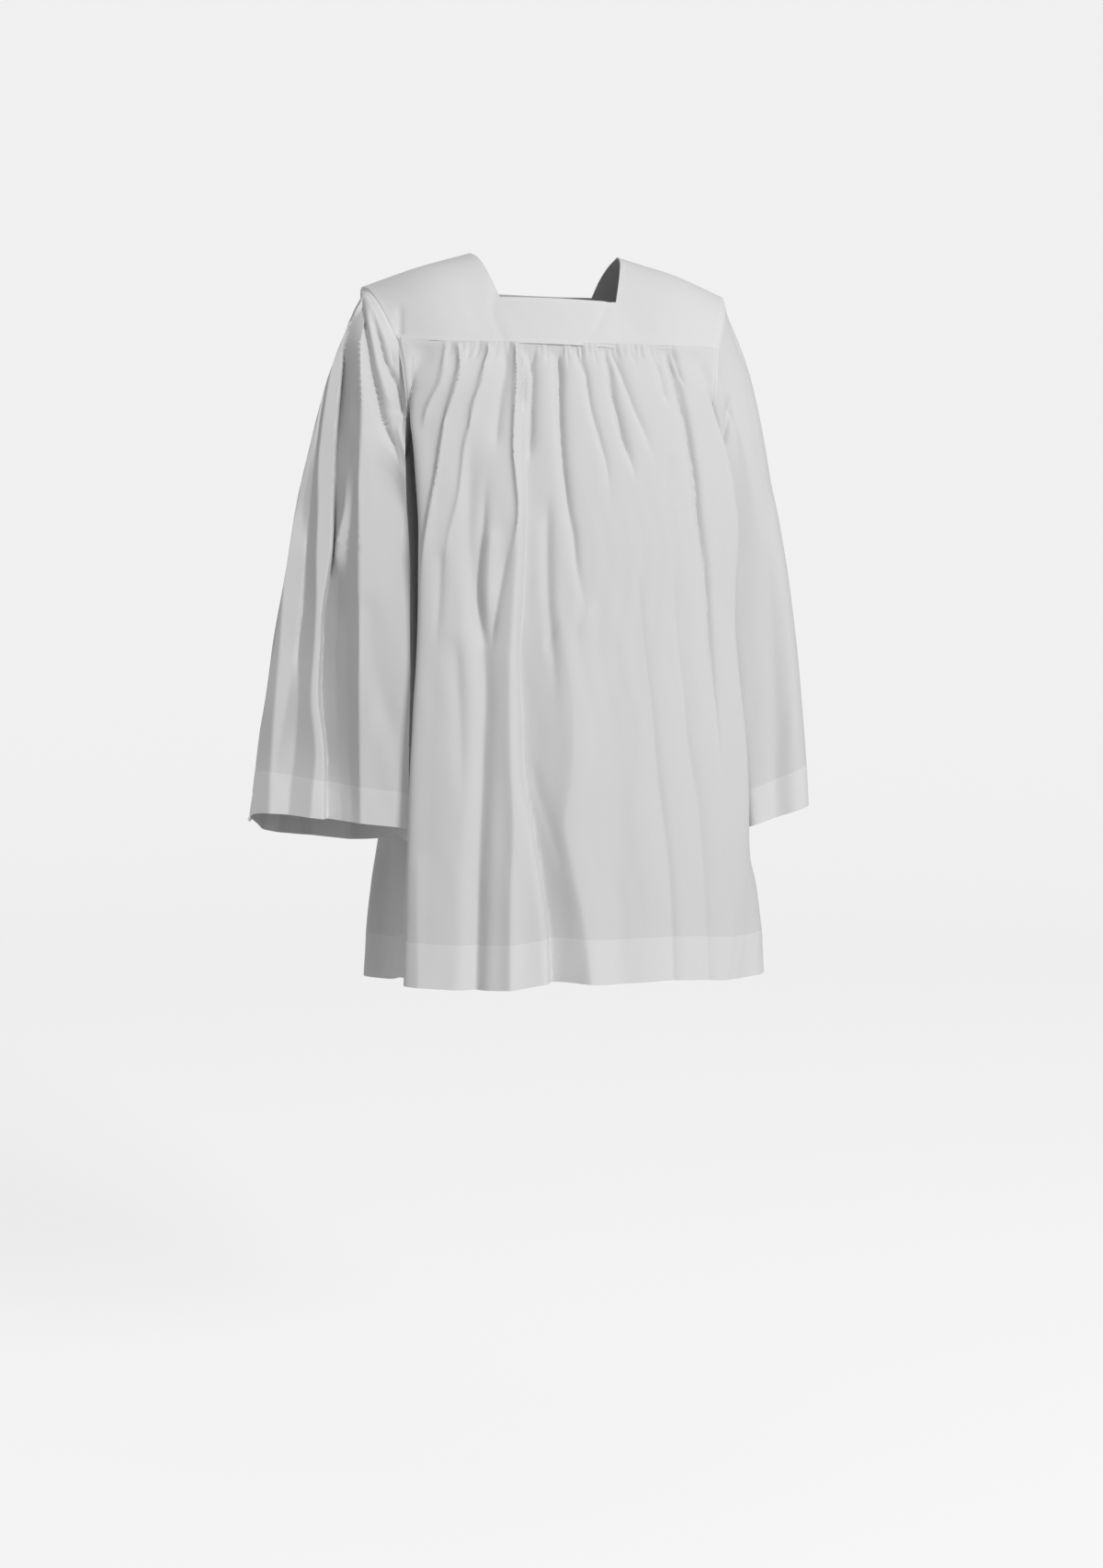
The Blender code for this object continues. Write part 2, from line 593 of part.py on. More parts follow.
def sleeve_ring(values: dict, along: float, turns: np.ndarray, corner: tuple) -> np.ndarray:
    """Return one plain ring of a sleeve, at turns from its outside towards the front."""
    angle = np.linspace(0.0, 2 * math.pi, CURVE_SAMPLES)
    outward = np.cos(angle)
    forward = np.sin(angle)
    at_corner = (forward > 0) & (outward < 0)
    roundness = np.where(at_corner, INNER_FRONT_ROUNDNESS, SLEEVE_ROUNDNESS)
    squared = np.where(at_corner, ease(along, *corner), ease(along, *SQUARES_OFF))
    power = 1.0 + (roundness - 1.0) * squared
    across = np.sign(outward) * np.abs(outward) ** power
    ahead = np.sign(forward) * np.abs(forward) ** power
    middle_x = (values["outer_x"] + values["inner_x"]) / 2
    x = middle_x + (values["outer_x"] - middle_x) * across
    y = np.where(ahead > 0, values["front_y"], -values["back_y"]) * ahead
    side_z = np.where(outward > 0, values["outer_z"], values["inner_z"])
    face_z = np.where(forward > 0, values["front_z"], values["back_z"])
    z = side_z * outward**2 + face_z * forward**2
    z += (level_hoop(values, across, ahead) - z) * ease(along, *LEVELS_OUT)
    ring = np.stack([x, y, z], axis=1)
    return read_line(ring, ring, turns)


def level_hoop(values: dict, across: np.ndarray, ahead: np.ndarray) -> np.ndarray:
    """Return the heights of a hoop that tilts evenly through its four given heights."""
    sides = values["outer_z"] + values["inner_z"]
    faces = values["front_z"] + values["back_z"]
    tilt = (values["outer_z"] - values["inner_z"]) / 2 * across
    tilt += (values["front_z"] - values["back_z"]) / 2 * ahead
    bend = (faces - sides) / 4 * (ahead**2 - across**2)
    return (sides + faces) / 4 + tilt + bend


def sleeve_fold_lift(folds, along: np.ndarray, turns: np.ndarray) -> np.ndarray:
    """Return how far the folds move each point of a sleeve out, by row and column."""
    total = np.zeros((len(along), len(turns)))
    for fold in folds:
        part = ((along - fold.top) / (fold.low - fold.top))[:, None]
        turn = fold.top_turn + (fold.low_turn - fold.top_turn) * part
        off = (turns - turn + 0.5) % 1.0 - 0.5
        width = fold.width * (0.45 + 0.55 * np.clip(part, 0.0, 1.0))
        strength = ease(part, 0.0, 0.55) * (1 - ease(part, 0.90, 1.0))
        total += fold.depth * strength * np.exp(-((off / width) ** 2))
    next_to_body = ease(0.5 - np.abs(turns - 0.5), *NEXT_TO_BODY)
    return total * (1 - next_to_body)


def make_sleeve(levels, folds, armhole: np.ndarray, outward: float, corner: tuple) -> Sheet:
    """Return a sleeve from the ring of its armhole, whose first point is at the shoulder."""
    turns = lengths_along(np.concatenate([armhole, armhole[:1]]))[:-1]
    start = {
        "outer_x": armhole[0, 0],
        "inner_x": armhole[armhole[:, 2].argmin(), 0],
        "front_y": armhole[:, 1].min(),
        "back_y": armhole[:, 1].max(),
        "outer_z": armhole[:, 2].max(),
        "front_z": np.interp(0.25, turns, armhole[:, 2]),
        "inner_z": armhole[:, 2].min(),
        "back_z": np.interp(0.75, turns, armhole[:, 2]),
    }
    length = armhole[0, 2] - levels[-1].outer_z
    hem_top = 1.0 - CUFF_HEM / length
    along = np.array([0.0, *SLEEVE_ROWS, hem_top, hem_top + HEM_EDGE_ROLL / length, 1.0])
    keys = np.array([0.0, *(level.along for level in levels)])
    columns = {}
    for name, first in start.items():
        values = np.array([[first], *([getattr(level, name)] for level in levels)])
        columns[name] = smooth(keys, values, along)[:, 0]
    misfit = armhole - sleeve_ring(start, 0.0, turns, corner)
    rows = []
    for row, share in enumerate(along):
        values = {name: column[row] for name, column in columns.items()}
        ring = sleeve_ring(values, share, turns, corner)
        rows.append(ring + misfit * (1 - ease(share, 0.0, ARMHOLE_FADE)))
    base = Sheet(np.array(rows), outward, PANEL_CLOTH, closed=True)
    lift = sleeve_fold_lift(folds, along, turns)
    sheet = Sheet(base.points + base.out * lift[..., None], outward, PANEL_CLOTH, closed=True)
    sheet.thicken_hem(along > hem_top + HEM_EDGE_ROLL / (2 * length))
    return sheet


def ways_across(line: np.ndarray, out: np.ndarray, towards: np.ndarray, closed=False) -> np.ndarray:
    """Return the way across a seam at each of its points, square to it and to the cloth."""
    if closed:
        along = np.roll(line, -1, axis=0) - np.roll(line, 1, axis=0)
    else:
        along = np.gradient(line, axis=0)
    ways = unit(np.cross(along, out))
    return ways * np.sign(np.sum(ways * towards, axis=1))[:, None]


def sew_shoulders(front: Sheet, back: Sheet) -> None:
    """Part the two yokes at the shoulder seams."""
    mean = unit(front.out[0] + back.out[0])
    ways = ways_across(front.points[0], mean, np.tile((0.0, 1.0, 0.0), (len(mean), 1)))
    for sheet, side in ((front, -0.5), (back, 0.5)):
        sheet.out[0] = mean
        sheet.shift[0] += ways * SEAM_GAP * side


def sew_gathers(yoke: Sheet, panel: Sheet, gathers: int) -> None:
    """Set a panel's gathered edge on the line of its yoke's lower edge, just under it."""
    line = yoke.points[-1]
    panel_out = read_line(panel.points[0], panel.out[0], lengths_along(line))
    mean = unit(yoke.out[-1] + panel_out)
    down = ways_across(line, mean, np.tile((0.0, 0.0, -1.0), (len(line), 1)))
    fractions = seam_fractions(cloth_columns(gathers))
    yoke.out[-1] = mean
    yoke.shift[-1] -= down * SEAM_GAP / 2
    panel.points[0] = read_line(line, line, fractions)
    panel.out[0] = read_line(line, mean, fractions)
    panel.shift[0] += read_line(line, down, fractions) * SEAM_GAP / 2


def sew_side(front: Sheet, back: Sheet, column: int) -> None:
    """Part the two panels at a side seam, from the underarm down."""
    rows = slice(len(ARMHOLE_SHARES) - 1, None)
    mean = unit(front.out[rows, column] + back.out[rows, column])
    line = (front.points[rows, column] + back.points[rows, column]) / 2
    ways = ways_across(line, mean, np.tile((0.0, 1.0, 0.0), (len(line), 1)))
    for sheet, side in ((front, -0.5), (back, 0.5)):
        sheet.points[rows, column] = line
        sheet.out[rows, column] = mean
        sheet.shift[rows, column] += ways * SEAM_GAP * side


def armhole_places(front_yoke, front_panel, back_panel, back_yoke, column: int) -> list:
    """Return the armhole's corners from the shoulder round by the front: who owns each."""
    yoke_rows = range(front_yoke.points.shape[0])
    panel_rows = range(len(ARMHOLE_SHARES))
    last_yoke_row = yoke_rows[-1]
    underarm = panel_rows[-1]
    places = [[(front_yoke, 0), (back_yoke, 0)]]
    places += [[(front_yoke, row)] for row in yoke_rows[1:-1]]
    places.append([(front_yoke, last_yoke_row), (front_panel, 0)])
    places += [[(front_panel, row)] for row in panel_rows[1:-1]]
    places.append([(front_panel, underarm), (back_panel, underarm)])
    places += [[(back_panel, row)] for row in panel_rows[-2:0:-1]]
    places.append([(back_panel, 0), (back_yoke, last_yoke_row)])
    places += [[(back_yoke, row)] for row in yoke_rows[-2:0:-1]]
    return [[(sheet, (row, column)) for sheet, row in owners] for owners in places]


def armhole_steps(places: list, yokes: tuple) -> np.ndarray:
    """Return each sleeve column's place round the armhole, counted in its corners."""
    marks = []
    for number, owners in enumerate(places):
        following = places[(number + 1) % len(places)]
        both = {id(sheet) for sheet, _ in owners} & {id(sheet) for sheet, _ in following}
        by_yoke = any(id(yoke) in both for yoke in yokes)
        steps = SLEEVE_STEPS_BY_YOKE if by_yoke else SLEEVE_STEPS_BY_PANEL
        marks += [number + step / steps for step in range(steps)]
    return np.array(marks)


def read_loop(values: np.ndarray, marks: np.ndarray) -> np.ndarray:
    """Return values that belong to a closed line's corners, read at marks between them."""
    looped = np.concatenate([values, values[:1]])
    corners = np.arange(len(looped))
    return np.stack([np.interp(marks, corners, looped[:, axis]) for axis in range(3)], axis=1)


def sew_sleeve(sleeve: Sheet, places: list, marks: np.ndarray) -> None:
    """Part a sleeve from the body, and mitre the two walls where they bend away outwards."""
    line = np.array([owners[0][0].points[owners[0][1]] for owners in places])
    body_out = unit(np.array([sum(sheet.out[at] for sheet, at in owners) for owners in places]))
    corners = np.isclose(marks % 1.0, 0.0)
    sleeve_out = sleeve.out[0, corners]
    leaving = sleeve.points[1, corners] - sleeve.points[0, corners]
    mean = unit(body_out + sleeve_out)
    ways = ways_across(line, mean, leaving, closed=True)
    bend = np.sum(ways * (sleeve_out - body_out), axis=1)
    mitred = ease(bend, *MITRE_SETS_IN)[:, None]
    stretch = 1 / np.maximum(np.sum(mean * body_out, axis=1, keepdims=True), LEAST_MITRE_COSINE)
    body_way = unit(body_out * (1 - mitred) + mean * mitred) * (1 + (stretch - 1) * mitred)
    sleeve_way = unit(sleeve_out * (1 - mitred) + mean * mitred) * (1 + (stretch - 1) * mitred)
    for number, owners in enumerate(places):
        for sheet, at in owners:
            sheet.out[at] = body_way[number]
            sheet.ripple[at] = 0.0
            sheet.shift[at] -= ways[number] * SEAM_GAP / 2
    sleeve.out[0] = read_loop(sleeve_way, marks)
    sleeve.shift[0] += read_loop(ways, marks) * SEAM_GAP / 2


def cotton(name: str, roughness: float) -> bpy.types.Material:
    """Return the white cotton of one piece."""
    material = bpy.data.materials.new(name)
    material.use_nodes = True
    shader = material.node_tree.nodes["Principled BSDF"]
    shader.inputs["Base Color"].default_value = COTTON
    shader.inputs["Roughness"].default_value = roughness
    shader.inputs["Metallic"].default_value = 0.0
    return material


def add_piece(name: str, sheet: Sheet, collection, skip=None) -> bpy.types.Object:
    """Add a piece: its outer sheet, extruded through the cloth to its inner points."""
    rows, columns = sheet.points.shape[:2]
    outside = sheet.outside()
    inside = sheet.inside()
    shape = bmesh.new()
    place = shape.verts.layers.int.new("place")
    grid = {}

    def corner(row: int, column: int):
        key = row * columns + column % columns
        if key not in grid:
            grid[key] = shape.verts.new(outside[row, column % columns])
            grid[key][place] = key
        return grid[key]

    for row in range(rows - 1):
        for column in range(columns if sheet.closed else columns - 1):
            if skip is not None and skip(row, column):
                continue
            ends = ((row, column), (row + 1, column), (row + 1, column + 1), (row, column + 1))
            shape.faces.new([corner(*end) for end in ends])
    grown = bmesh.ops.extrude_face_region(shape, geom=shape.faces[:], use_keep_orig=True)
    for part in grown["geom"]:
        if isinstance(part, bmesh.types.BMVert):
            part.co = inside[divmod(part[place], columns)]
    bmesh.ops.recalc_face_normals(shape, faces=shape.faces[:])
    mesh = bpy.data.meshes.new(name)
    shape.to_mesh(mesh)
    shape.free()
    mesh.shade_smooth()
    mesh.set_sharp_from_angle(angle=math.radians(50))
    piece = bpy.data.objects.new(name, mesh)
    mesh.materials.append(cotton(name, COTTON_ROUGHNESS))
    collection.objects.link(piece)
    return piece


def main() -> None:
    """Build the garment."""
    for thing in list(bpy.data.objects):
        bpy.data.objects.remove(thing, do_unlink=True)
    collection = bpy.data.collections.new(GARMENT)
    bpy.context.scene.collection.children.link(collection)

    front_yoke = Sheet(
        yoke_points(FRONT_YOKE_SIDE, FRONT_YOKE_SHOULDER, FRONT_YOKE_NECK, FRONT_YOKE_MIDDLE),
        1.0,
        YOKE_CLOTH,
    )
    back_yoke = Sheet(
        yoke_points(BACK_YOKE_SIDE, BACK_YOKE_SHOULDER, BACK_YOKE_NECK, BACK_YOKE_MIDDLE),
        -1.0,
        YOKE_CLOTH,
    )
    front = make_panel(
        FRONT_LEVELS, FRONT_ARMHOLE, FRONT_ROWS_ABOVE, FRONT_FOLDS, FRONT_GATHERS, FRONT_HEM_WAVE, -1.0
    )
    back = make_panel(
        BACK_LEVELS, BACK_ARMHOLE, BACK_ROWS_ABOVE, BACK_FOLDS, BACK_GATHERS, BACK_HEM_WAVE, 1.0
    )
    sew_shoulders(front_yoke, back_yoke)
    sew_gathers(front_yoke, front, FRONT_GATHERS)
    sew_gathers(back_yoke, back, BACK_GATHERS)
    pieces = {"yoke_front": front_yoke, "yoke_back": back_yoke, "panel_front": front, "panel_back": back}
    sides = (
        ("sleeve_right", RIGHT_SLEEVE, RIGHT_SLEEVE_FOLDS, RIGHT_CORNER_SQUARES_OFF, 0, 1.0),
        ("sleeve_left", LEFT_SLEEVE, LEFT_SLEEVE_FOLDS, LEFT_CORNER_SQUARES_OFF, -1, -1.0),
    )
    for name, levels, folds, corner, column, outward in sides:
        sew_side(front, back, column)
        places = armhole_places(front_yoke, front, back, back_yoke, column)
        marks = armhole_steps(places, (front_yoke, back_yoke))
        line = np.array([owners[0][0].points[owners[0][1]] for owners in places])
        sleeve = make_sleeve(levels, folds, read_loop(line, marks), outward, corner)
        sew_sleeve(sleeve, places, marks)
        pieces[name] = sleeve
    for name, sheet in pieces.items():
        add_piece(name, sheet, collection, in_neck if name.startswith("yoke") else None)


if __name__ == "__main__":
    main()
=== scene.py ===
"""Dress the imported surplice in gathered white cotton, with its sewing, in a plain studio.

Metres, +Z up. The origin is the middle of the neck, at the height where the shoulder
seams meet it. The front faces -Y, and the wearer's left is at +X.
"""

import logging
import math
from dataclasses import dataclass, field
from enum import Enum
from typing import Callable, Dict, List, Optional, Sequence, Tuple

import bpy
import numpy as np
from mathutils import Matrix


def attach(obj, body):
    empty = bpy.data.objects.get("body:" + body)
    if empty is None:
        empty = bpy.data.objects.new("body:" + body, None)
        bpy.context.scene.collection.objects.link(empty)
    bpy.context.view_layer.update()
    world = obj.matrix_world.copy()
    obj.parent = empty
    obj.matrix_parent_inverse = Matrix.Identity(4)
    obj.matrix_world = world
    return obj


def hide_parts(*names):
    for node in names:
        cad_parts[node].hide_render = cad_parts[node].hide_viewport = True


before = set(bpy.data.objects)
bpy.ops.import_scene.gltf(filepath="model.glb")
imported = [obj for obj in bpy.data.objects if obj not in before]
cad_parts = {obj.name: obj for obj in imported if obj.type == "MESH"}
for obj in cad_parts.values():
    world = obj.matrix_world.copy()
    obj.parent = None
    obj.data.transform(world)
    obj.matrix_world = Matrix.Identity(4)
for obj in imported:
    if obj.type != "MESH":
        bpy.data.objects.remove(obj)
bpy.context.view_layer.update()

BODY = "root"
LOG = logging.getLogger("surplice")

TINY = 1e-12

Line = Tuple[Tuple[float, float], ...]
Point = Tuple[float, float, float]


class Facing(Enum):
    """The side of the garment that a piece of cloth is on."""

    FRONT = -1.0
    BACK = 1.0


class Side(Enum):
    """The wearer's right, at -X, and left, at +X."""

    RIGHT = -1.0
    LEFT = 1.0


# ---------------------------------------------------------------------------------------
# Curves.
# ---------------------------------------------------------------------------------------


def unit(vectors: np.ndarray) -> np.ndarray:
    """Return the vectors at length 1."""
    return vectors / np.maximum(np.linalg.norm(vectors, axis=-1, keepdims=True), TINY)


def ease(value: np.ndarray, start: float, end: float) -> np.ndarray:
    """Return 0 before start and 1 after end, with a soft rise between them."""
    part = np.clip((value - start) / (end - start), 0.0, 1.0)
    return part * part * (3 - 2 * part)


def smooth(keys: np.ndarray, values: np.ndarray, places: np.ndarray) -> np.ndarray:
    """Read the smooth curve through each value at its key.

    Args:
        keys: Growing keys of the values.
        values: One row for each key.
        places: Where the curve is read.

    Returns:
        One row for each place.
    """
    keys = np.asarray(keys, float)
    values = np.asarray(values, float)
    steps = np.diff(keys)[:, None]
    slopes = np.diff(values, axis=0) / steps
    tangents = np.empty_like(values)
    tangents[0] = slopes[0]
    tangents[-1] = slopes[-1]
    tangents[1:-1] = (slopes[:-1] * steps[1:] + slopes[1:] * steps[:-1]) / (steps[:-1] + steps[1:])
    places = np.clip(np.asarray(places, float), keys[0], keys[-1])
    cell = np.clip(np.searchsorted(keys, places, side="right") - 1, 0, len(keys) - 2)
    width = steps[cell]
    part = (places - keys[cell])[:, None] / width
    squared = part**2
    cubed = part**3
    curve = values[cell] * (2 * cubed - 3 * squared + 1)
    curve += values[cell + 1] * (3 * squared - 2 * cubed)
    curve += tangents[cell] * width * (cubed - 2 * squared + part)
    curve += tangents[cell + 1] * width * (cubed - squared)
    return curve


def lengths_along(line: np.ndarray) -> np.ndarray:
    """Return how far along the line each of its points lies, from 0 to 1."""
    run = np.concatenate([[0.0], np.cumsum(np.linalg.norm(np.diff(line, axis=0), axis=1))])
    return run / run[-1]


def read_line(line: np.ndarray, values: np.ndarray, fractions: np.ndarray) -> np.ndarray:
    """Return values that belong to a line's points, read at fractions of its length."""
    run = lengths_along(line)
    return np.stack([np.interp(fractions, run, column) for column in values.T], axis=1)


def read_table(table: Line, heights: np.ndarray) -> np.ndarray:
    """Return the smooth reading of a table of (height, value) at these heights."""
    keys, values = np.array(table)[::-1].T
    return smooth(keys, values[:, None], heights)[:, 0]


@dataclass(frozen=True)
class Section:
    """The smooth curve of one section of the garment, through its stations."""

    stations: np.ndarray
    samples: int = 600

    def _fine(self) -> Tuple[np.ndarray, np.ndarray, np.ndarray]:
        """Return the curve as many points, their keys and the stations' keys."""
        steps = np.linalg.norm(np.diff(self.stations, axis=0), axis=1) ** 0.5
        keys = np.concatenate([[0.0], np.cumsum(steps)])
        fine_keys = np.linspace(0.0, keys[-1], self.samples)
        return smooth(keys, self.stations, fine_keys), fine_keys, keys

    def at(self, fractions: np.ndarray) -> np.ndarray:
        """Return the points at these fractions of the curve's length."""
        fine, _, _ = self._fine()
        return read_line(fine, fine, fractions)

    def marks(self) -> np.ndarray:
        """Return how far along the curve each station lies, from 0 to 1."""
        fine, fine_keys, keys = self._fine()
        return np.interp(keys, fine_keys, lengths_along(fine))


# ---------------------------------------------------------------------------------------
# The cut: the tables of the garment's shape. Most are those of its solids. The front's
# edges and hem, the front armhole and the sleeves' inner sides depart from them a little.
# ---------------------------------------------------------------------------------------


@dataclass(frozen=True)
class PanelLevel:
    """Where a panel turns at one height: its middle and the folds at its two sides."""

    z: float
    middle_y: float
    right_x: float
    right_y: float
    left_x: float
    left_y: float


@dataclass(frozen=True)
class SideLevel:
    """Where the two side seams run at one height."""

    z: float
    right_x: float
    left_x: float
    y: float


@dataclass(frozen=True)
class SleeveLevel:
    """One ring of a sleeve, from 0 at the armhole to 1 at the cuff."""

    along: float
    outer_x: float
    inner_x: float
    front_y: float
    back_y: float
    outer_z: float
    front_z: float
    inner_z: float
    back_z: float


@dataclass(frozen=True)
class Crease:
    """A trough (depth below 0) or ridge that runs down the cloth, as seen from in front.

    Attributes:
        line: Its points (x, z) from the top down.
        depth: How far it moves the cloth out at its top.
        right: How far it spreads towards the wearer's right.
        left: How far it spreads towards the wearer's left.
        low_depth: The depth at its lower end, if that differs.
        crisp: 2 is a round trough and 1 a sharp one.
        top_fade: The share of its length over which it sets in.
        low_fade: The share of its length over which it runs out.
        margin: How far past its ends it still counts, as a share.
        sharp_top_starts: Where it starts if top_fade is 0, as a share below its top.
    """

    line: Line
    depth: float
    right: float
    left: float
    low_depth: Optional[float] = None
    crisp: float = 1.7
    top_fade: float = 0.14
    low_fade: float = 0.22
    margin: float = 0.001
    sharp_top_starts: float = -0.2

    def lift(self, x: np.ndarray, z: np.ndarray) -> np.ndarray:
        """Return how far this crease moves each point out.

        Args:
            x: Where the points lie across the garment.
            z: Their heights.

        Returns:
            The move of each point along the cloth's normal.
        """
        points = np.array(self.line)[::-1]
        centre = smooth(points[:, 1], points[:, :1], z.ravel())[:, 0].reshape(z.shape)
        part = (self.line[0][1] - z) / (self.line[0][1] - self.line[-1][1])
        low_depth = self.depth if self.low_depth is None else self.low_depth
        depth = self.depth + (low_depth - self.depth) * np.clip(part, 0.0, 1.0)
        starts = part > self.sharp_top_starts
        if self.top_fade > 0:
            starts = ease(part, -self.margin, self.top_fade)
        ends = 1.0
        if self.low_fade > 0:
            ends = 1 - ease(part, 1 - self.low_fade, 1 + self.margin)
        off = x - centre
        width = np.where(off < 0, self.right, self.left)
        return depth * starts * ends * np.exp(-((np.abs(off) / width) ** self.crisp))


@dataclass(frozen=True)
class SmallGathers:
    """Short uneven troughs close under a yoke.

    Attributes:
        places: Where each gather lies, and how far it runs down.
        top: The height of the seam.
        lean: How far a gather drifts out over lean_over of its length, as a share of x.
        lean_varies: How much that differs from one to the next.
        depth: How deep a gather is.
        depth_varies: How much that differs from one to the next.
    """

    places: Line
    top: float
    lean: float = 0.10
    lean_varies: float = 0.05
    lean_turn: float = 2.3
    lean_over: float = 0.025
    lean_at_half: float = 0.4
    depth: float = 0.0031
    depth_varies: float = 0.0012
    depth_turn: float = 1.7
    starts_above: float = 0.001

    def creases(self) -> Tuple[Crease, ...]:
        """Return the gathers as creases."""
        made = []
        for number, (x, length) in enumerate(self.places):
            lean = self.lean + self.lean_varies * math.sin(number * self.lean_turn)
            drift = x * lean * length / self.lean_over
            depth = -self.depth - self.depth_varies * math.sin(number * self.depth_turn)
            line = (
                (x, self.top + self.starts_above),
                (x + drift * self.lean_at_half, self.top - length / 2),
                (x + drift, self.top - length),
            )
            made.append(Crease(line, depth, 0.0017, 0.0032, crisp=1.3, top_fade=0.0, low_fade=0.6))
        return tuple(made)


@dataclass(frozen=True)
class Pleat:
    """A line down a sleeve where its cloth is folded.

    Attributes:
        name: What lies there.
        line: Its points from the top down: the height, how far out from the garment's
            middle it lies, and how far behind the sleeve's front plane.
    """

    name: str
    line: Tuple[Point, ...]

    def at(self, heights: np.ndarray) -> Tuple[np.ndarray, np.ndarray]:
        """Return how far out and how far behind the pleat lies at these heights."""
        points = np.array(self.line)[::-1]
        read = smooth(points[:, 0], points[:, 1:], np.clip(heights, points[0, 0], points[-1, 0]))
        return read[:, 0], read[:, 1]


FRONT_YOKE = {
    "side": (
        (0.2195, 0.010, -0.0420),
        (0.2160, -0.028, -0.0500),
        (0.2090, -0.058, -0.0670),
        (0.2000, -0.080, -0.0900),
        (0.1905, -0.095, -0.1145),
    ),
    "shoulder": (
        (0.1550, 0.006, -0.0185),
        (0.1540, -0.036, -0.0260),
        (0.1500, -0.068, -0.0460),
        (0.1440, -0.093, -0.0780),
        (0.1370, -0.114, -0.1175),
    ),
    "neck": (
        (0.0910, 0.000, 0.0000),
        (0.0860, -0.036, -0.0110),
        (0.0785, -0.064, -0.0330),
        (0.0695, -0.087, -0.0625),
        (0.0700, -0.123, -0.1190),
    ),
    "middle": ((0.0, -0.093, -0.0635), (0.0, -0.128, -0.1205)),
}
BACK_YOKE = {
    "side": (
        (0.2195, 0.010, -0.0420),
        (0.2165, 0.044, -0.0500),
        (0.2100, 0.070, -0.0680),
        (0.2020, 0.088, -0.0910),
        (0.1935, 0.100, -0.1180),
    ),
    "shoulder": (
        (0.1550, 0.006, -0.0185),
        (0.1545, 0.046, -0.0260),
        (0.1520, 0.074, -0.0450),
        (0.1470, 0.094, -0.0760),
        (0.1400, 0.108, -0.1220),
    ),
    "neck": (
        (0.0910, 0.000, 0.0000),
        (0.0860, 0.030, -0.0070),
        (0.0800, 0.054, -0.0200),
        (0.0740, 0.072, -0.0380),
        (0.0740, 0.112, -0.1240),
    ),
    "middle": ((0.0, 0.075, -0.0400), (0.0, 0.114, -0.1250)),
}
# How far below its seam a panel is kept from standing proud of the yoke, the yokes' levels
# at the neck's edge and at the gathers, and how much lower the wearer's left side hangs.
SEAM_EASES_BY = 0.050
NECK_EDGE_LEVEL = 3
LAST_YOKE_LEVEL = 4
LEFT_SETTLES = 0.004

FRONT_ARMHOLE = (
    (0.1905, -0.095, -0.1145),
    (0.1855, -0.109, -0.1560),
    (0.1800, -0.104, -0.1940),
    (0.1690, -0.056, -0.2180),
    (0.1630, 0.005, -0.2280),
)
BACK_ARMHOLE = (
    (0.1935, 0.100, -0.1180),
    (0.1860, 0.104, -0.1580),
    (0.1760, 0.090, -0.1970),
    (0.1670, 0.054, -0.2200),
    (0.1630, 0.005, -0.2280),
)
FRONT_LEVELS = (
    PanelLevel(-0.120, -0.128, -0.1540, -0.1150, 0.1500, -0.115),
    PanelLevel(-0.160, -0.141, -0.1740, -0.1140, 0.1710, -0.115),
    PanelLevel(-0.200, -0.149, -0.1795, -0.1145, 0.1840, -0.117),
    PanelLevel(-0.236, -0.154, -0.1765, -0.1220, 0.1960, -0.119),
    PanelLevel(-0.320, -0.162, -0.1720, -0.1310, 0.2110, -0.122),
    PanelLevel(-0.424, -0.168, -0.1735, -0.136, 0.2060, -0.127),
    PanelLevel(-0.624, -0.179, -0.1850, -0.140, 0.2230, -0.130),
    PanelLevel(-0.745, -0.186, -0.1895, -0.142, 0.2230, -0.130),
    PanelLevel(-0.862, -0.190, -0.1930, -0.144, 0.2200, -0.127),
)
BACK_LEVELS = (
    PanelLevel(-0.125, 0.115, -0.1500, 0.108, 0.1500, 0.108),
    PanelLevel(-0.165, 0.124, -0.1600, 0.114, 0.1600, 0.114),
    PanelLevel(-0.205, 0.130, -0.1640, 0.116, 0.1660, 0.116),
    PanelLevel(-0.236, 0.133, -0.1660, 0.117, 0.1700, 0.117),
    PanelLevel(-0.320, 0.136, -0.1660, 0.118, 0.1770, 0.118),
    PanelLevel(-0.424, 0.138, -0.1680, 0.120, 0.1860, 0.121),
    PanelLevel(-0.624, 0.146, -0.1780, 0.128, 0.2060, 0.130),
    PanelLevel(-0.697, 0.149, -0.1900, 0.116, 0.2220, 0.112),
    PanelLevel(-0.745, 0.152, -0.2000, 0.104, 0.2380, 0.096),
    PanelLevel(-0.800, 0.155, -0.2090, 0.088, 0.2505, 0.082),
    PanelLevel(-0.862, 0.158, -0.2150, 0.066, 0.2585, 0.072),
)
SIDE_LEVELS = (
    SideLevel(-0.228, -0.1630, 0.1630, 0.005),
    SideLevel(-0.320, -0.1580, 0.1680, 0.004),
    SideLevel(-0.424, -0.1560, 0.1780, 0.002),
    SideLevel(-0.624, -0.1600, 0.2020, 0.000),
    SideLevel(-0.697, -0.1670, 0.2240, -0.008),
    SideLevel(-0.745, -0.1720, 0.2495, -0.018),
    SideLevel(-0.800, -0.1760, 0.2600, -0.032),
    SideLevel(-0.862, -0.1800, 0.2645, -0.044),
)
FRONT_ROWS_ABOVE = (-0.120, -0.127, -0.139, -0.156, -0.180, -0.207, -0.236)
BACK_ROWS_ABOVE = (-0.125, -0.132, -0.144, -0.161, -0.184, -0.209, -0.236)
ARMHOLE_SHARES = (0.0, 0.07, 0.17, 0.30, 0.50, 0.75, 1.0)
GATHERED_SEAM = (0.19, 0.87)
GATHERED_CLOTH = (0.10, 0.92)
SIDE_FOLDS_BY = 0.13
RIGHT_FOLD_STATION = 2
LEFT_FOLD_STATION = 8
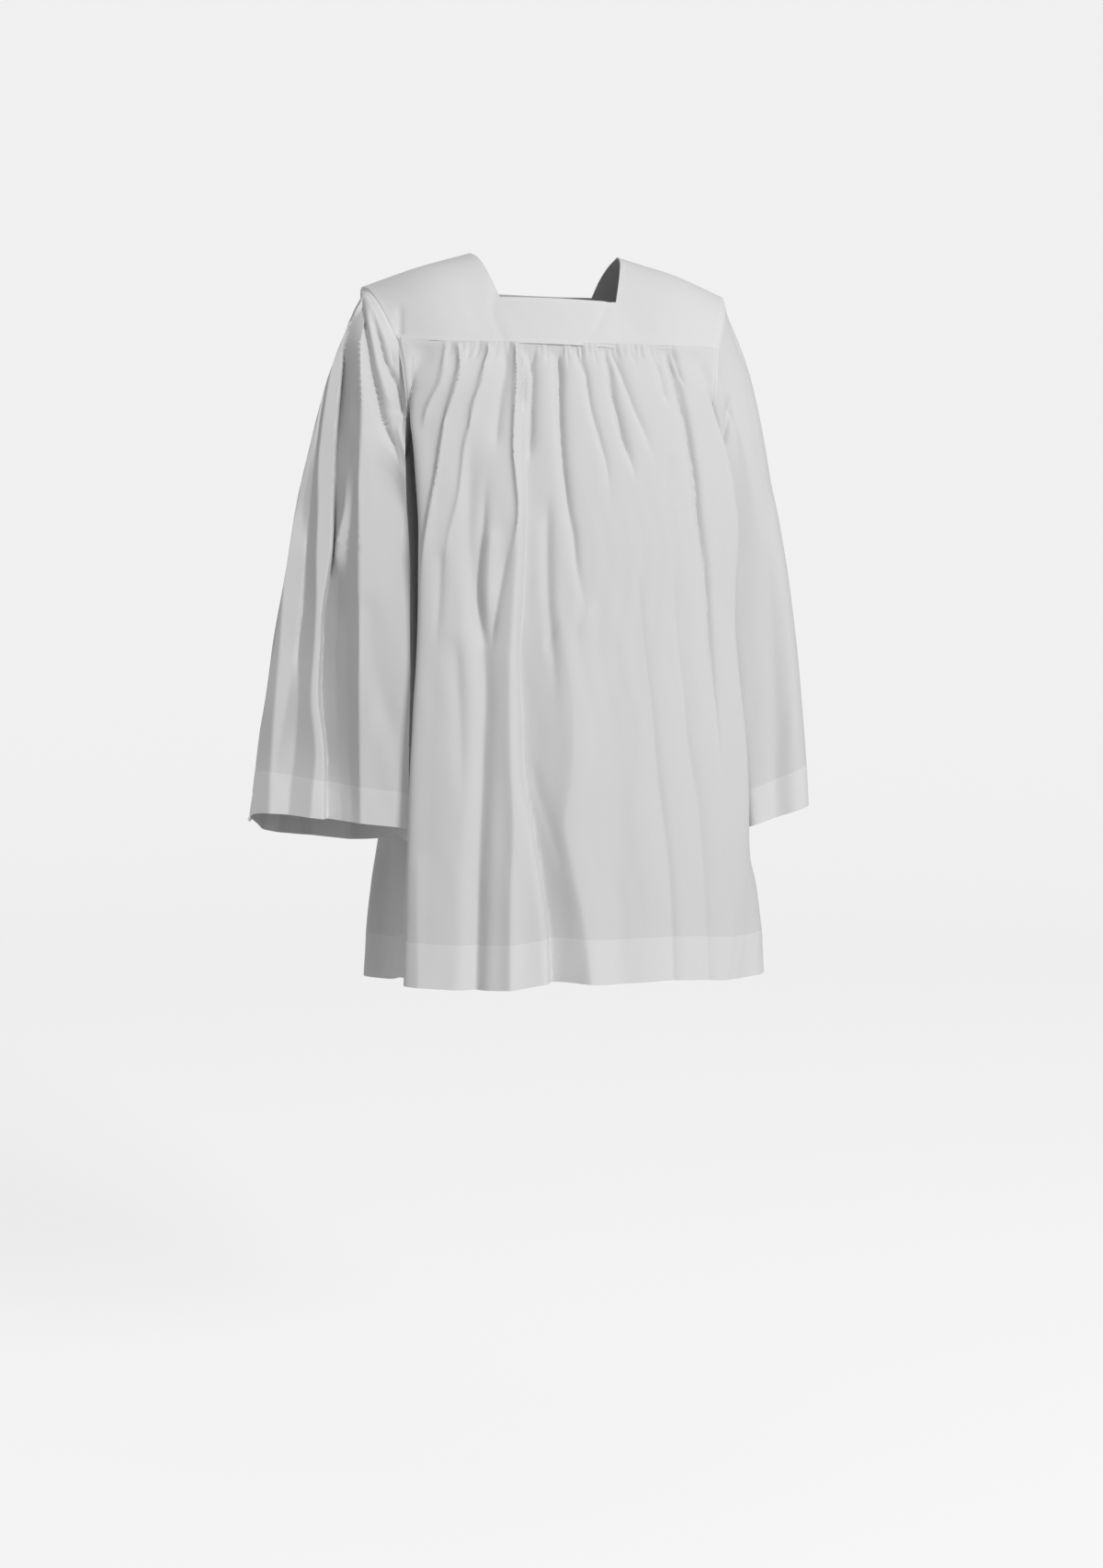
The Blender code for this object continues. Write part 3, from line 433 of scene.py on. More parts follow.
# The stations of a panel's section between its edge, its fold and its middle, as shares.
BEHIND_FOLD = (0.62, 0.26, 0.50)
BEFORE_FOLD = (0.87, 0.34)
QUARTER_OF_FRONT = (0.52, 0.80)
BEHIND_FROM = (-0.10, 0.06)
HEM_DROP = 0.862
BACK_HEM_DROP = 0.018
BODY_HEM = 0.052
CUFF_HEM = 0.050
HEM_STITCHES_BELOW_FOLD = 0.002
YOKE_STITCHES_ABOVE_EDGE = 0.0026
HEM_STEP_HALF_WIDTH = 0.0006
# Each piece's row of stitches: its name, and how far it lies above the lower edge.
STITCHES = {
    "panel_front": ("stitches_front_hem", BODY_HEM - HEM_STITCHES_BELOW_FOLD),
    "panel_back": ("stitches_back_hem", BODY_HEM - HEM_STITCHES_BELOW_FOLD),
    "sleeve_right": ("stitches_right_cuff", CUFF_HEM - HEM_STITCHES_BELOW_FOLD),
    "sleeve_left": ("stitches_left_cuff", CUFF_HEM - HEM_STITCHES_BELOW_FOLD),
    "yoke_front": ("stitches_front_yoke", YOKE_STITCHES_ABOVE_EDGE),
    "yoke_back": ("stitches_back_yoke", YOKE_STITCHES_ABOVE_EDGE),
}
SEAM_SINKS = 0.0004
SEAM_SINKS_OVER = 0.002
SIDE_SEAM_TAKES_OVER = (0.228, 0.236)

FRONT_HEM_WAVE = (
    (-0.22, 0.000), (-0.07, -0.002), (-0.02, 0.004), (0.03, 0.001), (0.13, 0.001), (0.19, -0.004),
    (0.28, -0.004),
)
BACK_HEM_WAVE = (
    (-0.23, 0.000), (-0.12, -0.004), (-0.03, 0.003), (0.07, -0.003), (0.16, 0.003), (0.28, 0.000),
)

RIGHT_SLEEVE = (
    SleeveLevel(0.16, -0.2620, -0.1790, -0.108, 0.110, -0.130, -0.225, -0.285, -0.225),
    SleeveLevel(0.36, -0.2990, -0.1795, -0.106, 0.108, -0.266, -0.330, -0.372, -0.335),
    SleeveLevel(0.58, -0.3250, -0.1810, -0.103, 0.104, -0.410, -0.450, -0.480, -0.460),
    SleeveLevel(0.80, -0.3455, -0.1840, -0.103, 0.102, -0.547, -0.563, -0.590, -0.600),
    SleeveLevel(1.00, -0.3635, -0.1840, -0.104, 0.100, -0.677, -0.672, -0.697, -0.708),
)
LEFT_SLEEVE = (
    SleeveLevel(0.16, 0.2500, 0.1890, -0.104, 0.112, -0.129, -0.222, -0.285, -0.225),
    SleeveLevel(0.36, 0.2740, 0.1980, -0.098, 0.116, -0.268, -0.330, -0.372, -0.335),
    SleeveLevel(0.58, 0.2970, 0.2060, -0.094, 0.118, -0.405, -0.450, -0.480, -0.460),
    SleeveLevel(0.80, 0.3110, 0.2210, -0.093, 0.120, -0.540, -0.563, -0.590, -0.580),
    SleeveLevel(1.00, 0.3200, 0.2350, -0.092, 0.122, -0.668, -0.676, -0.696, -0.690),
)
SLEEVE_ROUNDNESS = 0.58
INNER_FRONT_ROUNDNESS = 0.17
# The shares of a sleeve's length over which its rings square off, and over which they
# become level, and the share by which the armhole's own shape has faded.
SQUARES_OFF = (0.05, 0.50)
LEVELS_OUT = (0.45, 1.00)
ARMHOLE_FADE = 0.30


# ---------------------------------------------------------------------------------------
# The creases.
# ---------------------------------------------------------------------------------------

# The long folds of the front, then the gathers under its yoke.
FRONT_CREASES = (
    # The two broad hollows and the rolled fold between them.
    Crease(((-0.112, -0.190), (-0.116, -0.270), (-0.116, -0.370), (-0.106, -0.450),
            (-0.102, -0.480), (-0.105, -0.600), (-0.112, -0.740), (-0.117, -0.900)),
           -0.0030, 0.012, 0.011, -0.0150, low_fade=0.0),
    Crease(((-0.062, -0.280), (-0.062, -0.330), (-0.066, -0.400), (-0.072, -0.480),
            (-0.073, -0.600), (-0.071, -0.680), (-0.074, -0.740), (-0.076, -0.900)),
           0.0040, 0.011, 0.014, 0.0085, crisp=1.5, low_fade=0.0),
    Crease(((-0.0465, -0.121), (-0.0505, -0.200), (-0.0505, -0.308), (-0.0550, -0.410),
            (-0.0590, -0.466), (-0.0580, -0.550), (-0.0550, -0.625), (-0.0450, -0.678),
            (-0.0365, -0.730), (-0.0290, -0.783), (-0.0250, -0.862)),
           -0.0050, 0.0046, 0.030, -0.0230, crisp=1.3, top_fade=0.0, low_fade=0.0),
    Crease(((-0.025, -0.290), (-0.027, -0.360), (-0.026, -0.420), (-0.022, -0.480),
            (-0.018, -0.560)), -0.0040, 0.008, 0.006, -0.0050, low_fade=0.45),
    Crease(((-0.020, -0.380), (-0.009, -0.466), (0.000, -0.550), (-0.003, -0.620),
            (-0.012, -0.678), (-0.003, -0.730), (0.008, -0.783), (0.018, -0.862)),
           0.0020, 0.018, 0.024, 0.0110, crisp=1.5, low_fade=0.0),
    # The wide rolls of the wearer's left half, each with a crisp foot.
    Crease(((0.072, -0.355), (0.081, -0.405), (0.087, -0.466), (0.097, -0.551), (0.104, -0.635),
            (0.113, -0.700), (0.124, -0.900)),
           -0.0016, 0.020, 0.0060, -0.0040, crisp=1.2, low_fade=0.0),
    Crease(((0.124, -0.370), (0.129, -0.466), (0.137, -0.530), (0.143, -0.593), (0.154, -0.656),
            (0.160, -0.720), (0.172, -0.900)),
           -0.0020, 0.018, 0.0070, -0.0050, crisp=1.2, low_fade=0.0),
    Crease(((0.052, -0.420), (0.052, -0.600), (0.058, -0.900)),
           -0.0016, 0.026, 0.022, -0.0045, low_fade=0.0),
    Crease(((-0.134, -0.450), (-0.130, -0.560), (-0.127, -0.680)),
           -0.0030, 0.010, 0.008, low_fade=0.5),
    Crease(((-0.149, -0.355), (-0.151, -0.410), (-0.156, -0.475)),
           -0.0022, 0.006, 0.005, low_fade=0.4),
    Crease(((-0.178, -0.700), (-0.178, -0.780), (-0.178, -0.900)),
           0.0020, 0.010, 0.016, 0.0040, crisp=1.4, low_fade=0.0),
    # The long crisp gathers.
    Crease(((-0.1365, -0.119), (-0.141, -0.140), (-0.147, -0.166), (-0.160, -0.192),
            (-0.167, -0.222)), 0.0042, 0.0020, 0.008, crisp=1.1, top_fade=0.0),
    Crease(((-0.1245, -0.119), (-0.124, -0.145), (-0.130, -0.171), (-0.138, -0.197),
            (-0.1465, -0.235), (-0.1515, -0.266), (-0.159, -0.303), (-0.165, -0.340),
            (-0.172, -0.400)), 0.0070, 0.0021, 0.015, 0.0052, crisp=1.0, top_fade=0.0),
    Crease(((-0.090, -0.121), (-0.0905, -0.129), (-0.097, -0.150), (-0.1025, -0.171),
            (-0.110, -0.192), (-0.1135, -0.213), (-0.120, -0.235), (-0.1245, -0.266),
            (-0.129, -0.298), (-0.140, -0.340), (-0.147, -0.400)),
           0.0063, 0.0022, 0.010, 0.0024, crisp=1.05, top_fade=0.0, low_fade=0.35),
    Crease(((-0.071, -0.119), (-0.071, -0.150), (-0.0755, -0.171), (-0.081, -0.203),
            (-0.087, -0.250)), -0.0040, 0.009, 0.0055, crisp=1.5, top_fade=0.0),
    Crease(((-0.0585, -0.119), (-0.060, -0.150), (-0.064, -0.203), (-0.066, -0.245),
            (-0.063, -0.287), (-0.0615, -0.308), (-0.066, -0.345), (-0.073, -0.375)),
           0.0065, 0.0021, 0.010, 0.0052, crisp=1.05, top_fade=0.0),
    Crease(((-0.053, -0.120), (-0.053, -0.150), (-0.053, -0.182), (-0.054, -0.202)),
           -0.0080, 0.0024, 0.0040, crisp=1.2, top_fade=0.0),
    Crease(((-0.043, -0.120), (-0.042, -0.136), (-0.040, -0.152), (-0.042, -0.192),
            (-0.0435, -0.224), (-0.048, -0.262)),
           -0.0078, 0.0022, 0.0045, crisp=1.15, top_fade=0.0),
    Crease(((-0.0095, -0.120), (-0.0080, -0.150), (-0.0090, -0.192), (-0.0085, -0.235),
            (-0.0065, -0.266), (-0.003, -0.298), (-0.001, -0.315), (0.004, -0.340),
            (0.0065, -0.371), (0.013, -0.410), (0.020, -0.445)),
           -0.0112, 0.0065, 0.0042, -0.0036, crisp=1.2, top_fade=0.0, low_fade=0.3),
    Crease(((0.013, -0.121), (0.015, -0.134), (0.0215, -0.150), (0.0245, -0.176), (0.029, -0.203),
            (0.036, -0.229), (0.043, -0.256), (0.047, -0.320)),
           -0.0057, 0.0044, 0.0036, -0.0020, crisp=1.25, top_fade=0.0, low_fade=0.45),
    Crease(((0.0465, -0.121), (0.053, -0.150), (0.054, -0.176), (0.0595, -0.203),
            (0.0665, -0.235), (0.0735, -0.256), (0.080, -0.282)),
           -0.0080, 0.0040, 0.0046, crisp=1.15, top_fade=0.0, low_fade=0.35),
    Crease(((0.054, -0.121), (0.064, -0.150), (0.071, -0.171), (0.080, -0.197), (0.0915, -0.224),
            (0.099, -0.245), (0.106, -0.264)),
           -0.0055, 0.0036, 0.0050, -0.0026, crisp=1.2, top_fade=0.0, low_fade=0.4),
    Crease(((0.103, -0.122), (0.1125, -0.150), (0.116, -0.171), (0.123, -0.192)),
           -0.0037, 0.0040, 0.0055, crisp=1.4, top_fade=0.0),
    Crease(((0.1235, -0.122), (0.1325, -0.150), (0.1385, -0.182), (0.1450, -0.208),
            (0.1490, -0.235), (0.1550, -0.277), (0.1580, -0.319), (0.1620, -0.350),
            (0.1660, -0.382), (0.1690, -0.413), (0.1720, -0.466), (0.1765, -0.519),
            (0.1805, -0.572), (0.190, -0.660)),
           -0.0092, 0.0060, 0.0029, -0.0034, crisp=1.15, top_fade=0.0, low_fade=0.35),
    Crease(((0.131, -0.123), (0.137, -0.145), (0.143, -0.166)),
           -0.0030, 0.0035, 0.0030, crisp=1.4, top_fade=0.0),
    # A small fold beside the armhole.
    Crease(((-0.1765, -0.134), (-0.1780, -0.152), (-0.1785, -0.168), (-0.1765, -0.184)),
           -0.0036, 0.0026, 0.0020, crisp=1.4),
    # The drooping pocket above the wearer's-right hollow.
    Crease(((-0.094, -0.260), (-0.098, -0.290), (-0.101, -0.330), (-0.107, -0.375),
            (-0.109, -0.412), (-0.104, -0.450), (-0.094, -0.480)),
           -0.0060, 0.007, 0.0050, -0.0050, crisp=1.5, top_fade=0.4, low_fade=0.15),
    Crease(((-0.071, -0.345), (-0.079, -0.385), (-0.086, -0.420), (-0.091, -0.450),
            (-0.093, -0.475)), -0.0050, 0.010, 0.0045, crisp=1.4, top_fade=0.3, low_fade=0.2),
    Crease(((-0.093, -0.330), (-0.096, -0.390), (-0.097, -0.445)),
           0.0036, 0.009, 0.009, low_fade=0.3),
    # Small breaks.
    Crease(((0.024, -0.424), (0.016, -0.440), (0.008, -0.458)), 0.0018, 0.004, 0.005),
    Crease(((-0.018, -0.445), (-0.024, -0.458), (-0.031, -0.474)), -0.0022, 0.005, 0.004),
    Crease(((0.123, -0.252), (0.1185, -0.268), (0.114, -0.282)), -0.0016, 0.004, 0.004),
    Crease(((-0.047, -0.600), (-0.040, -0.640), (-0.027, -0.680), (-0.012, -0.740)),
           -0.0016, 0.005, 0.008),
)
BACK_CREASES = (
    Crease(((0.104, -0.140), (0.118, -0.400), (0.126, -0.640), (0.131, -0.910)),
           -0.0030, 0.018, 0.026, -0.0150, low_fade=0.0),
    Crease(((0.066, -0.200), (0.078, -0.420), (0.084, -0.660), (0.086, -0.910)),
           0.0040, 0.020, 0.016, 0.0100, low_fade=0.0),
    Crease(((0.032, -0.300), (0.041, -0.480), (0.044, -0.660), (0.036, -0.910)),
           -0.0030, 0.020, 0.010, -0.0130, low_fade=0.0),
    Crease(((0.004, -0.150), (-0.004, -0.440), (-0.008, -0.680), (-0.010, -0.910)),
           0.0040, 0.018, 0.026, 0.0090, low_fade=0.0),
    Crease(((-0.050, -0.360), (-0.055, -0.520), (-0.058, -0.700), (-0.052, -0.910)),
           -0.0030, 0.020, 0.011, -0.0120, low_fade=0.0),
    Crease(((-0.086, -0.220), (-0.097, -0.440), (-0.100, -0.680), (-0.101, -0.910)),
           0.0050, 0.016, 0.022, 0.0090, low_fade=0.0),
    Crease(((-0.134, -0.460), (-0.140, -0.620), (-0.150, -0.910)),
           -0.0030, 0.018, 0.014, -0.0100, low_fade=0.0),
    Crease(((0.158, -0.480), (0.172, -0.640), (0.190, -0.910)),
           0.0030, 0.020, 0.022, 0.0080, low_fade=0.0),
    Crease(((0.137, -0.124), (0.148, -0.180), (0.166, -0.240)),
           -0.0026, 0.0035, 0.010, crisp=1.4, top_fade=0.0),
    Crease(((0.121, -0.124), (0.134, -0.200), (0.152, -0.330), (0.168, -0.470)),
           -0.0036, 0.0035, 0.013, crisp=1.3, top_fade=0.0),
    Crease(((0.100, -0.124), (0.106, -0.200), (0.124, -0.310)),
           -0.0032, 0.0045, 0.010, crisp=1.4, top_fade=0.0),
    Crease(((0.060, -0.124), (0.062, -0.200), (0.056, -0.330)),
           -0.0052, 0.0045, 0.011, crisp=1.4, top_fade=0.0),
    Crease(((0.041, -0.124), (0.040, -0.170), (0.044, -0.240)),
           -0.0030, 0.0035, 0.008, crisp=1.4, top_fade=0.0),
    Crease(((-0.024, -0.124), (-0.028, -0.220), (-0.036, -0.310), (-0.044, -0.420)),
           -0.0056, 0.0050, 0.012, crisp=1.4, top_fade=0.0),
    Crease(((-0.050, -0.124), (-0.055, -0.180), (-0.070, -0.280)),
           -0.0034, 0.0040, 0.010, crisp=1.4, top_fade=0.0),
    Crease(((-0.078, -0.124), (-0.088, -0.190), (-0.110, -0.300)),
           -0.0034, 0.0040, 0.011, crisp=1.4, top_fade=0.0),
    Crease(((-0.112, -0.124), (-0.124, -0.220), (-0.142, -0.400), (-0.156, -0.600)),
           -0.0050, 0.0036, 0.014, crisp=1.3, top_fade=0.0),
    Crease(((-0.130, -0.124), (-0.140, -0.160), (-0.156, -0.215)),
           -0.0022, 0.0030, 0.007, crisp=1.4, top_fade=0.0),
)
# The small gathers between the longer ones: where, and how far they run down.
FRONT_SMALL_GATHERS = (
    (-0.131, 0.022), (-0.1165, 0.016), (-0.1105, 0.026), (-0.1050, 0.014), (-0.0990, 0.022),
    (-0.0840, 0.018), (-0.0780, 0.030), (-0.0650, 0.013), (-0.0475, 0.016), (-0.0350, 0.030),
    (-0.0285, 0.014), (-0.0205, 0.024), (-0.0150, 0.013), (-0.0030, 0.018), (0.0025, 0.030),
    (0.0080, 0.014), (0.0190, 0.022), (0.0270, 0.016), (0.0340, 0.028), (0.0400, 0.014),
    (0.0600, 0.020), (0.0690, 0.015), (0.0770, 0.026), (0.0825, 0.013), (0.0900, 0.020),
    (0.0970, 0.015), (0.1090, 0.022), (0.1150, 0.014), (0.1260, 0.026),
)
BACK_SMALL_GATHERS = (
    (-0.121, 0.030), (-0.103, 0.044), (-0.095, 0.028), (-0.087, 0.034), (-0.070, 0.050),
    (-0.062, 0.026), (-0.042, 0.040), (-0.034, 0.024), (-0.016, 0.046), (-0.008, 0.026),
    (0.002, 0.034), (0.012, 0.056), (0.020, 0.026), (0.030, 0.036), (0.051, 0.028),
    (0.071, 0.046), (0.080, 0.026), (0.089, 0.038), (0.110, 0.030), (0.129, 0.036),
)

RIGHT_SLEEVE_FRONT = (
    # The strained folds that run from the shoulder towards the underarm.
    Crease(((-0.2325, -0.062), (-0.2310, -0.077), (-0.2288, -0.098), (-0.2234, -0.131),
            (-0.2210, -0.150), (-0.2160, -0.174), (-0.2070, -0.210), (-0.1975, -0.239),
            (-0.1900, -0.270)),
           -0.0098, 0.0080, 0.0027, crisp=1.15, top_fade=0.03, low_fade=0.30),
    Crease(((-0.2230, -0.072), (-0.2191, -0.090), (-0.2130, -0.113), (-0.2035, -0.146),
            (-0.1970, -0.158), (-0.1905, -0.171), (-0.1865, -0.187), (-0.1840, -0.204)),
           -0.0072, 0.0070, 0.0027, crisp=1.15, top_fade=0.35, low_fade=0.06),
    Crease(((-0.2085, -0.098), (-0.2020, -0.115), (-0.1975, -0.135), (-0.1960, -0.152)),
           -0.0026, 0.0030, 0.0030, crisp=1.4),
    Crease(((-0.2270, -0.075), (-0.2240, -0.100), (-0.2180, -0.135), (-0.2090, -0.170),
            (-0.1990, -0.205)), 0.0030, 0.0040, 0.0060),
    # A slack fold low on the front plane.
    Crease(((-0.2320, -0.400), (-0.2190, -0.510), (-0.1990, -0.590), (-0.1930, -0.640)),
           -0.0022, 0.016, 0.014, low_fade=0.4),
)
# The front plane of the wearer's-right sleeve: its height and how far forward it lies, then
# its height and where its edge next to the body lies.
SLEEVE_FRONT_PLANE = (
    (-0.042, 0.002), (-0.050, -0.036), (-0.060, -0.066), (-0.075, -0.086), (-0.100, -0.098),
    (-0.150, -0.105), (-0.203, -0.107), (-0.300, -0.106), (-0.410, -0.105), (-0.560, -0.108),
    (-0.720, -0.110),
)
SLEEVE_INNER_EDGE = (
    (-0.042, 0.2170), (-0.060, 0.2110), (-0.087, 0.1990), (-0.115, 0.1880), (-0.150, 0.1830),
    (-0.203, 0.1800), (-0.256, 0.1790), (-0.308, 0.1800), (-0.361, 0.1780), (-0.450, 0.1790),
    (-0.560, 0.1800), (-0.720, 0.1810),
)
# How far the wall behind the pleats leans in, and the plane's inner half leans forward,
# for each metre, and the depths below the neck between which that half begins to lean.
OUTER_WALL_LEANS = 0.22
INNER_EDGE_LEANS = 0.28
INNER_EDGE_LEANS_FROM = (0.28, 0.52)
INNER_EDGE_WIDTH = 0.002
LEAST_PLEAT_WIDTH = 0.0004
# The pleats of the wearer's-right sleeve, from the edge of its front plane outwards. Each
# runs down the cloth: its height, how far out it lies, and how far behind the front plane.
RIGHT_SLEEVE_PLEATS = (
    Pleat(
        "plane edge",
        ((-0.044, 0.2205, 0), (-0.060, 0.2300, 0), (-0.075, 0.2338, 0), (-0.087, 0.2341, 0.000),
         (-0.103, 0.2363, 0.000), (-0.121, 0.2395, 0.000), (-0.150, 0.2411, 0.000),
         (-0.203, 0.2406, 0.000), (-0.256, 0.2395, 0.000), (-0.308, 0.2390, 0.000),
         (-0.424, 0.2395, 0.000), (-0.530, 0.2400, 0.000), (-0.760, 0.2385, 0.000)),
    ),
    Pleat(
        "small fold, near side",
        ((-0.044, 0.2208, 0.0005), (-0.060, 0.2308, 0.002), (-0.075, 0.2355, 0.003),
         (-0.087, 0.2365, 0.004), (-0.103, 0.2385, 0.004), (-0.121, 0.2425, 0.006),
         (-0.150, 0.2435, 0.006), (-0.203, 0.2440, 0.009), (-0.256, 0.2440, 0.009),
         (-0.308, 0.2450, 0.013), (-0.361, 0.2495, 0.021), (-0.390, 0.2510, 0.024),
         (-0.466, 0.2510, 0.024), (-0.593, 0.2490, 0.020), (-0.662, 0.2475, 0.012),
         (-0.760, 0.2475, 0.010)),
    ),
    Pleat(
        "small fold, far side",
        ((-0.044, 0.2211, 0.001), (-0.060, 0.2315, 0.004), (-0.075, 0.2380, 0.007),
         (-0.087, 0.2400, 0.010), (-0.103, 0.2425, 0.012), (-0.121, 0.2465, 0.015),
         (-0.150, 0.2480, 0.018), (-0.203, 0.2500, 0.022), (-0.256, 0.2500, 0.022),
         (-0.308, 0.2535, 0.017), (-0.361, 0.2630, 0.026), (-0.390, 0.2580, 0.036),
         (-0.466, 0.2615, 0.042), (-0.530, 0.2615, 0.042), (-0.593, 0.2600, 0.036),
         (-0.662, 0.2590, 0.024), (-0.760, 0.2590, 0.022)),
    ),
    Pleat(
        "hollow",
        ((-0.044, 0.2215, 0.002), (-0.060, 0.2322, 0.006), (-0.075, 0.2432, 0.012),
         (-0.087, 0.2441, 0.016), (-0.103, 0.2473, 0.022), (-0.121, 0.2516, 0.027),
         (-0.150, 0.2536, 0.038), (-0.203, 0.2577, 0.046), (-0.256, 0.2605, 0.044),
         (-0.308, 0.2618, 0.042), (-0.361, 0.2634, 0.042), (-0.390, 0.2675, 0.050),
         (-0.424, 0.2730, 0.058), (-0.466, 0.2750, 0.060), (-0.530, 0.2770, 0.060),
         (-0.593, 0.2725, 0.052), (-0.662, 0.2740, 0.036), (-0.760, 0.2740, 0.032)),
    ),
    Pleat(
        "lip over the hollow",
        ((-0.044, 0.2219, 0.001), (-0.060, 0.2328, 0.002), (-0.075, 0.2450, 0.003),
         (-0.087, 0.2460, 0.004), (-0.103, 0.2497, 0.006), (-0.121, 0.2544, 0.008),
         (-0.150, 0.2572, 0.010), (-0.203, 0.2622, 0.013), (-0.256, 0.2652, 0.016),
         (-0.308, 0.2671, 0.017), (-0.361, 0.2692, 0.018), (-0.390, 0.2738, 0.020),
         (-0.424, 0.2790, 0.022), (-0.466, 0.2815, 0.024), (-0.530, 0.2848, 0.024),
         (-0.593, 0.2785, 0.022), (-0.662, 0.2808, 0.015), (-0.760, 0.2808, 0.014)),
    ),
    Pleat(
        "lip's far side",
        ((-0.044, 0.2222, 0.001), (-0.060, 0.2334, 0.002), (-0.075, 0.2485, 0.005),
         (-0.087, 0.2525, 0.007), (-0.103, 0.2570, 0.009), (-0.121, 0.2625, 0.012),
         (-0.150, 0.2685, 0.014), (-0.203, 0.2774, 0.018), (-0.256, 0.2830, 0.021),
         (-0.308, 0.2836, 0.021), (-0.361, 0.2858, 0.021), (-0.424, 0.2862, 0.023),
         (-0.466, 0.2882, 0.025), (-0.530, 0.2930, 0.025), (-0.593, 0.2884, 0.023),
         (-0.662, 0.2948, 0.017), (-0.760, 0.2948, 0.016)),
    ),
    Pleat(
        "dark wall's foot",
        ((-0.044, 0.2225, 0.0015), (-0.060, 0.2338, 0.003), (-0.075, 0.2489, 0.006),
         (-0.087, 0.2530, 0.009), (-0.103, 0.2576, 0.012), (-0.121, 0.2636, 0.016),
         (-0.150, 0.2704, 0.019), (-0.203, 0.2788, 0.025), (-0.256, 0.2858, 0.028),
         (-0.308, 0.2910, 0.035), (-0.361, 0.2956, 0.040), (-0.390, 0.2970, 0.043),
         (-0.424, 0.3000, 0.045), (-0.466, 0.3050, 0.048), (-0.530, 0.3065, 0.041),
         (-0.593, 0.3105, 0.046), (-0.662, 0.3190, 0.037), (-0.760, 0.3190, 0.034)),
    ),
    Pleat(
        "outer fold's edge",
        ((-0.044, 0.2228, 0.0015), (-0.060, 0.2342, 0.003), (-0.075, 0.2492, 0.006),
         (-0.087, 0.2534, 0.009), (-0.103, 0.2582, 0.012), (-0.121, 0.2642, 0.016),
         (-0.150, 0.2718, 0.019), (-0.203, 0.2815, 0.023), (-0.256, 0.2905, 0.031),
         (-0.308, 0.2993, 0.041), (-0.361, 0.2975, 0.037), (-0.390, 0.3000, 0.038),
         (-0.424, 0.3025, 0.040), (-0.466, 0.3082, 0.044), (-0.530, 0.3182, 0.047),
         (-0.593, 0.3292, 0.052), (-0.662, 0.3405, 0.040), (-0.760, 0.3405, 0.038)),
    ),
    Pleat(
        "outer fold's far side",
        ((-0.044, 0.2231, 0.002), (-0.060, 0.2346, 0.004), (-0.075, 0.2496, 0.007),
         (-0.087, 0.2538, 0.010), (-0.103, 0.2590, 0.013), (-0.121, 0.2650, 0.017),
         (-0.150, 0.2736, 0.021), (-0.203, 0.2869, 0.027), (-0.256, 0.2976, 0.034),
         (-0.308, 0.3055, 0.043), (-0.361, 0.3198, 0.041), (-0.390, 0.3218, 0.042),
         (-0.424, 0.3240, 0.043), (-0.466, 0.3269, 0.046), (-0.530, 0.3326, 0.048),
         (-0.593, 0.3372, 0.053), (-0.662, 0.3420, 0.041), (-0.760, 0.3420, 0.039)),
    ),
    Pleat(
        "outline",
        ((-0.044, 0.2236, 0.002), (-0.060, 0.2352, 0.005), (-0.075, 0.2500, 0.008),
         (-0.087, 0.2542, 0.011), (-0.103, 0.2598, 0.014), (-0.121, 0.2660, 0.018),
         (-0.150, 0.2756, 0.023), (-0.203, 0.2925, 0.031), (-0.256, 0.3042, 0.038),
         (-0.308, 0.3122, 0.047), (-0.361, 0.3210, 0.044), (-0.390, 0.3265, 0.050),
         (-0.424, 0.3335, 0.055), (-0.466, 0.3400, 0.061), (-0.530, 0.3470, 0.064),
         (-0.593, 0.3545, 0.074), (-0.662, 0.3655, 0.068), (-0.760, 0.3740, 0.066)),
    ),
)
RIGHT_SLEEVE_BACK = (
    Crease(((-0.250, -0.110), (-0.285, -0.300), (-0.310, -0.500), (-0.325, -0.760)),
           -0.0060, 0.016, 0.012, -0.0120, low_fade=0.0),
    Crease(((-0.225, -0.100), (-0.250, -0.300), (-0.268, -0.520), (-0.275, -0.760)),
           0.0050, 0.014, 0.018, 0.0100, low_fade=0.0),
    Crease(((-0.205, -0.130), (-0.218, -0.300), (-0.226, -0.500), (-0.228, -0.760)),
           -0.0040, 0.012, 0.016, -0.0110, low_fade=0.0),
    Crease(((-0.228, -0.075), (-0.222, -0.130), (-0.204, -0.220)),
           -0.0036, 0.008, 0.0045, crisp=1.4),
)
LEFT_SLEEVE_FRONT = (
    Crease(((0.232, -0.160), (0.246, -0.260), (0.262, -0.420), (0.270, -0.760)),
           -0.0020, 0.014, 0.020, -0.0060, top_fade=0.3, low_fade=0.0),
    Crease(((0.2160, -0.050), (0.2235, -0.072), (0.2305, -0.100), (0.2360, -0.121),
            (0.2430, -0.146)), -0.0036, 0.0060, 0.0030, crisp=1.3, top_fade=0.05, low_fade=0.4),
    Crease(((0.2095, -0.166), (0.2070, -0.186), (0.2000, -0.216), (0.1940, -0.242)),
           -0.0060, 0.0080, 0.0032, crisp=1.3, top_fade=0.35, low_fade=0.15),
    Crease(((0.262, -0.260), (0.286, -0.480), (0.296, -0.760)),
           0.0020, 0.016, 0.018, 0.0050, low_fade=0.0),
)
